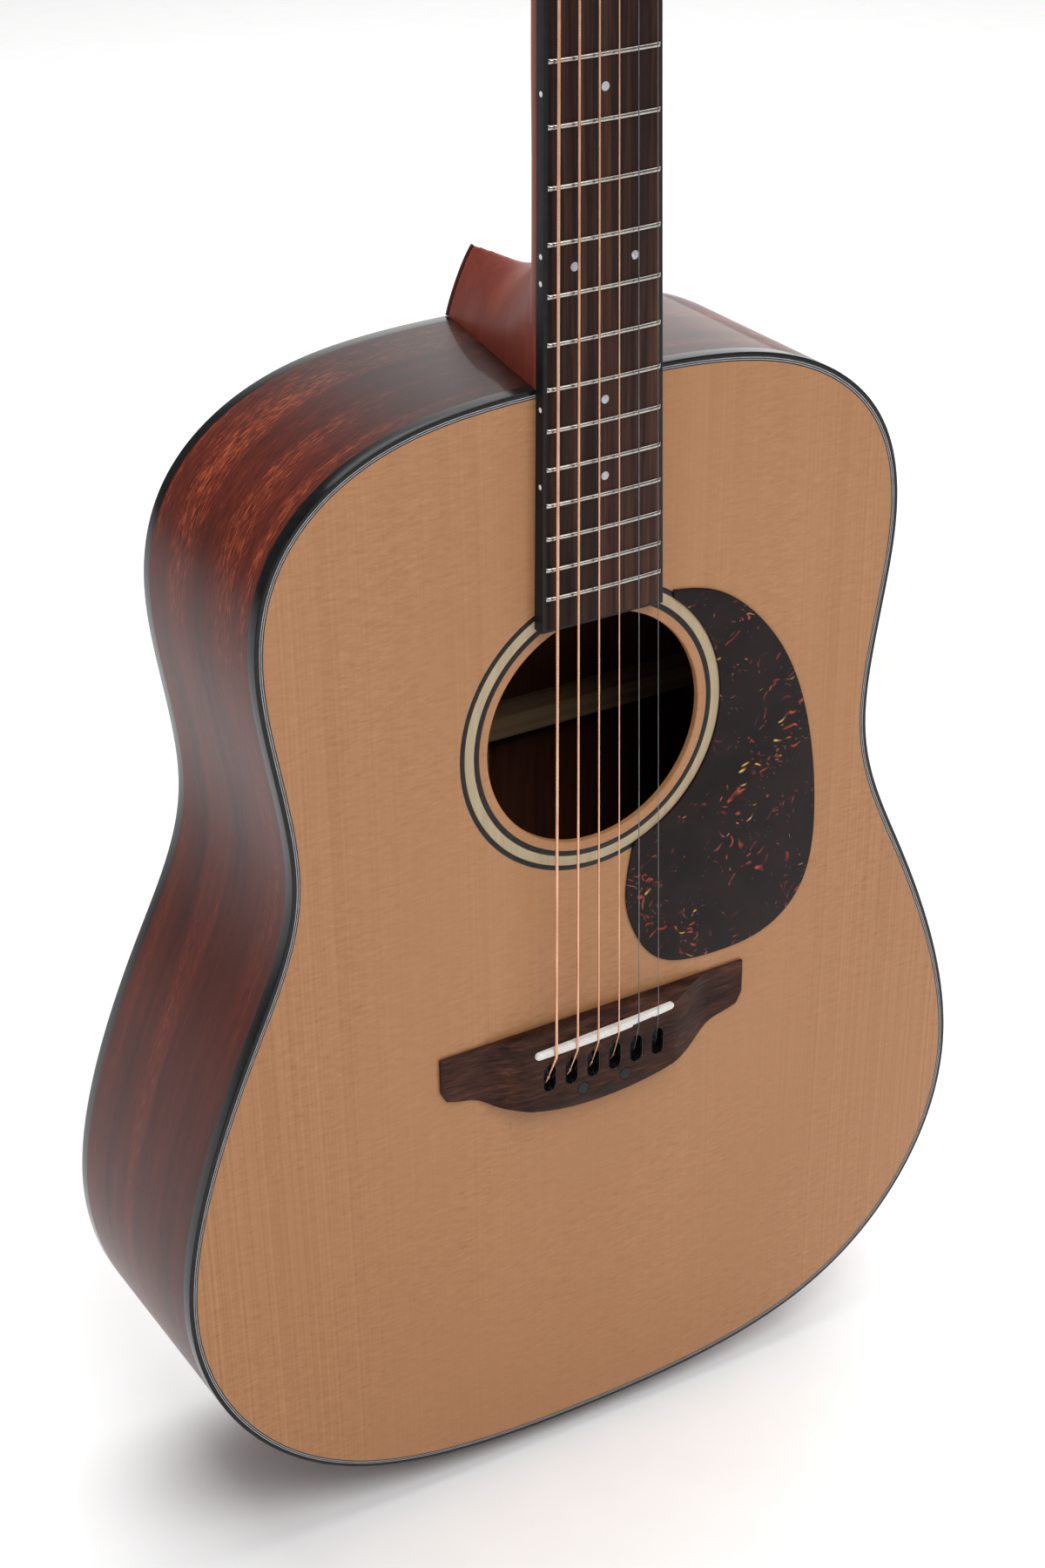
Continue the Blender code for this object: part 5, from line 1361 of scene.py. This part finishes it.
def make_tuners():
    front = HEAD_THICKNESS + GLUE
    washer = annulus(circle(0.0072, (0, 0), 48), BUSH_RADIUS, front, front + 0.0005, 0.0002)
    hex_nut = annulus(hexagon_loop(0.0064), BUSH_RADIUS, front + 0.0005, front + 0.0024, 0.0003)
    masters = (("housing_case", housing_mesh(), Matrix(), "housing", "guitar", "chrome"),
               ("post_turned", post_mesh(), Matrix(), "post", "post", "chrome"),
               ("knob_button", knob_mesh(), WORM_PLACE, "knob", "knob", "chrome"),
               ("washer", washer, Matrix(), None, "guitar", "chrome"),
               ("hex_nut", hex_nut, Matrix(), None, "guitar", "chrome"),
               ("screw", screw_mesh(), Matrix(), None, "guitar", "steel"))
    for side, numbers in ((1, (1, 2, 3)), (-1, (6, 5, 4))):
        for number, (across, up) in zip(numbers, TUNER_PLACES):
            place = tuner_frame(side, across, up)
            for kind, master, offset, node, body, look in masters:
                mesh = master.copy()
                if side < 0:
                    mesh.transform(Matrix.Diagonal((-1, 1, 1, 1)))
                    mesh.flip_normals()
                mesh.transform(place @ offset)
                rides = body if body == "guitar" else f"tuner_{number}_{body}"
                replaced = [f"tuner_{number}_{node}"] if node else []
                slot = "steel" if look == "steel" else "tuner_chrome"
                piece(f"tuner_{number}_{kind}", mesh, look, slot, *replaced, body=rides)


# Strings -------------------------------------------------------------------------------------------

def rounded_path(points, reach):
    """Replace each corner of a path by a short curve of five points."""
    made = [Vector(points[0])]
    for before, corner, after in zip(points, points[1:], points[2:]):
        before, corner, after = Vector(before), Vector(corner), Vector(after)
        near = min(reach, (before - corner).length / 2.2, (after - corner).length / 2.2)
        start = corner + (before - corner).normalized() * near
        end = corner + (after - corner).normalized() * near
        for t in np.linspace(0, 1, 5):
            made.append(start.lerp(corner, t).lerp(corner.lerp(end, t), t))
    made.append(Vector(points[-1]))
    return made


def sweep(shape, path, radius, sides):
    """Add a round bar along a path, carrying its frame along without twist."""
    across = Vector((1, 0, 0))
    rings = []
    for i, point in enumerate(path):
        ahead = (path[min(i + 1, len(path) - 1)] - path[max(i - 1, 0)]).normalized()
        across = (across - ahead * across.dot(ahead)).normalized()
        other = ahead.cross(across)
        size = radius * (0.55 if i in (0, len(path) - 1) else 1)
        rings.append([point + (across * math.cos(a) + other * math.sin(a)) * size
                      for a in 2 * np.pi * np.arange(sides) / sides])
    shape.loft(rings)


def twist_path(start, end, offset, phase, turns, count):
    """One strand of a two-strand twist between two points."""
    ahead = (end - start).normalized()
    across = ahead.orthogonal().normalized()
    other = ahead.cross(across)
    path = []
    for t in np.linspace(0, 1, count):
        angle = 2 * math.pi * turns * t + phase
        path.append(start.lerp(end, t) + (across * math.cos(angle) + other * math.sin(angle)) * offset)
    return path


def make_strings():
    """Each string rises from its bridge slot over the saddle, runs to the nut and winds on its post."""
    for number, radius in enumerate(STRING_RADII, start=1):
        side = 1 if number <= 3 else -1
        across, up = TUNER_PLACES[(number - 1) if side > 0 else (6 - number)]
        x_saddle, x_nut = string_x(number, STRING_SPACING_SADDLE), string_x(number, STRING_SPACING_NUT)
        x_slot = string_x(number, SLOT_SPACING)
        saddle_z = SADDLE_CENTRE_Z + x_saddle * math.tan(SADDLE_TILT)
        over_saddle = FRONT_Y - SADDLE_HEIGHT + crown(x_saddle) - radius
        over_nut = board_front(NUT_Z, x_nut) - NUT_HEIGHT - radius
        anchor = Vector((x_slot, FRONT_Y - 0.0043, SLOT_Z - 0.0040))
        bend = Vector((x_slot, anchor.y - 0.0030, SLOT_Z + 0.0002))
        points = [bend, (x_saddle, over_saddle, saddle_z - SADDLE_THICKNESS / 2),
                  (x_saddle, over_saddle, saddle_z + SADDLE_THICKNESS / 2),
                  (x_nut, over_nut, NUT_Z), (x_nut, over_nut + 0.0004, NUT_Z + NUT_THICKNESS)]
        turns = 1.75 if radius > 0.00025 else 2.75
        coil = POST_RADIUS + 0.0001 + radius
        wraps = []
        for i in range(int(24 * turns) + 1):
            angle = 2 * math.pi * i / 24
            rise = (2 * radius + 0.0001) * i / 24
            wraps.append(HEAD_FRAME @ Vector((side * (across - coil * math.cos(angle)), up + coil * math.sin(angle),
                                              0.0080 + rise)))
        path = rounded_path([*points, wraps[0]], 0.0012) + wraps[1:]
        shape = Shape()
        sweep(shape, path, radius, 12)
        wound = number > 2
        strand = radius * 0.62
        for phase in (0, math.pi):
            sweep(shape, twist_path(anchor, bend, radius * 0.6, phase, 2.5, 40), strand, 8)
        look, slot = ("bronze", "bronze_winding") if wound else ("plain", "plain_steel")
        piece(f"string_{number}_wire", shape.mesh(), look, slot, f"string_{number}")


def dress_cad_nodes():
    """Give the CAD pieces that stay visible their own materials."""
    shown = {"truss_rod": "steel", "tail_block": "raw_mahogany", "neck_block": "raw_mahogany",
             "bridge_plate": "raw_maple", "back_centre_strip": "raw_spruce_x"}
    for name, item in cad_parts.items():
        if not item.hide_render:
            along_x = "brace" in name or "tone_bar" in name
            look = looks[shown.get(name, "raw_spruce_x" if along_x else "raw_spruce_z")]
            for slot in item.material_slots:
                slot.material = look


edge = measure_outline()
SIDE_TONES = ((0.040, 0.0100, 0.0080), (0.090, 0.0180, 0.0120), (0.160, 0.0290, 0.0165), (0.420, 0.0900, 0.0360))
BOARD_TONES = ((0.007, 0.0040, 0.0040), (0.022, 0.0100, 0.0080), (0.052, 0.0210, 0.0140), (0.120, 0.0480, 0.0300))
BRIDGE_TONES = ((0.010, 0.0042, 0.0032), (0.030, 0.0110, 0.0068), (0.056, 0.0200, 0.0120), (0.110, 0.0420, 0.0250))
SPRUCE_TONES = ((0.24, 0.150, 0.078), (0.32, 0.215, 0.120), (0.38, 0.270, 0.160))
looks = {
    "spruce": spruce_look(),
    "side": ribbon_mahogany("mahogany_lacquered", SIDE_TONES, 0.30, 0.18, True),
    "side_inside": raw_wood("mahogany_raw_side", ((0.050, 0.015, 0.009), (0.080, 0.025, 0.014),
                                                  (0.110, 0.038, 0.020)), 2),
    "neck": neck_look(),
    "cap": plastic_look("heel_cap_dark", (0.050, 0.012, 0.009), (0.080, 0.018, 0.012), 0.30),
    "board": rosewood("rosewood_board", ((1500, 900, 55), (330, 200, 7), (70, 60, 2.5)), BOARD_TONES, 0.36),
    "bridge": rosewood("rosewood_bridge", ((260, 900, 1700), (80, 300, 620), (16, 90, 60)), BRIDGE_TONES, 0.46),
    "veneer": rosewood("rosewood_head", ((1500, 900, 55), (330, 200, 7), (70, 60, 2.5)), BOARD_TONES, 0.22),
    "binding": plastic_look("black_binding_gloss", (0.0045, 0.0045, 0.005), (0.009, 0.009, 0.010), 0.14, 0.08, 0.12),
    "edging": plastic_look("black_edging_satin", (0.006, 0.006, 0.007), (0.012, 0.012, 0.013), 0.34),
    "black_strip": plastic_look("black_fibre", (0.006, 0.006, 0.007), (0.014, 0.013, 0.013), 0.28),
    "white_strip": plastic_look("white_fibre", (0.34, 0.35, 0.37), (0.42, 0.43, 0.45), 0.30),
    "white_dot": plastic_look("white_dot_plastic", (0.78, 0.78, 0.80), (0.90, 0.90, 0.91), 0.30),
    "plastic": plastic_look("black_moulded", (0.006, 0.006, 0.007), (0.014, 0.014, 0.015), 0.30),
    "gloss_black": plastic_look("black_slot_lining", (0.004, 0.004, 0.004), (0.007, 0.007, 0.007), 0.12, 0.06, 0.4),
    "tortoise": tortoise_look(),
    "bone": bone_look(),
    "pearl": pearl_look(),
    "nickel": metal_look("nickel_silver", (0.33, 0.31, 0.28), (0.50, 0.48, 0.44), 0.16, 0.14, (40, 900, 900)),
    "chrome": metal_look("tuner_chrome_plate", (0.62, 0.62, 0.64), (0.80, 0.80, 0.82), 0.07, 0.10, (500, 500, 500)),
    "steel": metal_look("steel_machined", (0.32, 0.32, 0.33), (0.52, 0.52, 0.53), 0.30, 0.2, (900, 900, 200), 0.00001),
    "plain": metal_look("plain_steel_wire", (0.13, 0.13, 0.13), (0.22, 0.22, 0.22), 0.26, 0.16, (400, 400, 60)),
    "bronze": winding_look(),
    "raw_spruce_x": raw_wood("spruce_raw_bars", SPRUCE_TONES, 0),
    "raw_spruce_z": raw_wood("spruce_raw_strips", SPRUCE_TONES, 2),
    "raw_mahogany": raw_wood("mahogany_raw_block", ((0.16, 0.06, 0.035), (0.24, 0.10, 0.055), (0.32, 0.14, 0.08)), 0),
    "raw_maple": raw_wood("maple_raw_plate", ((0.50, 0.38, 0.24), (0.60, 0.47, 0.31), (0.68, 0.55, 0.38)), 0),
}
looks["cream"] = raw_wood("rosette_cream_wood", ((0.36, 0.27, 0.165), (0.42, 0.325, 0.205), (0.48, 0.385, 0.255)), 2)

make_camera()
make_studio()
make_soundboard()
make_rosette()
make_edges()
make_sides()
make_back()
make_linings()
make_pickguard()
make_end_pin()
make_bridge()
make_fingerboard()
make_frets()
make_dots()
make_board_binding()
make_nut()
make_neck()
make_heel_cap()
make_veneer()
make_truss_nut()
make_tuners()
make_strings()
dress_cad_nodes()
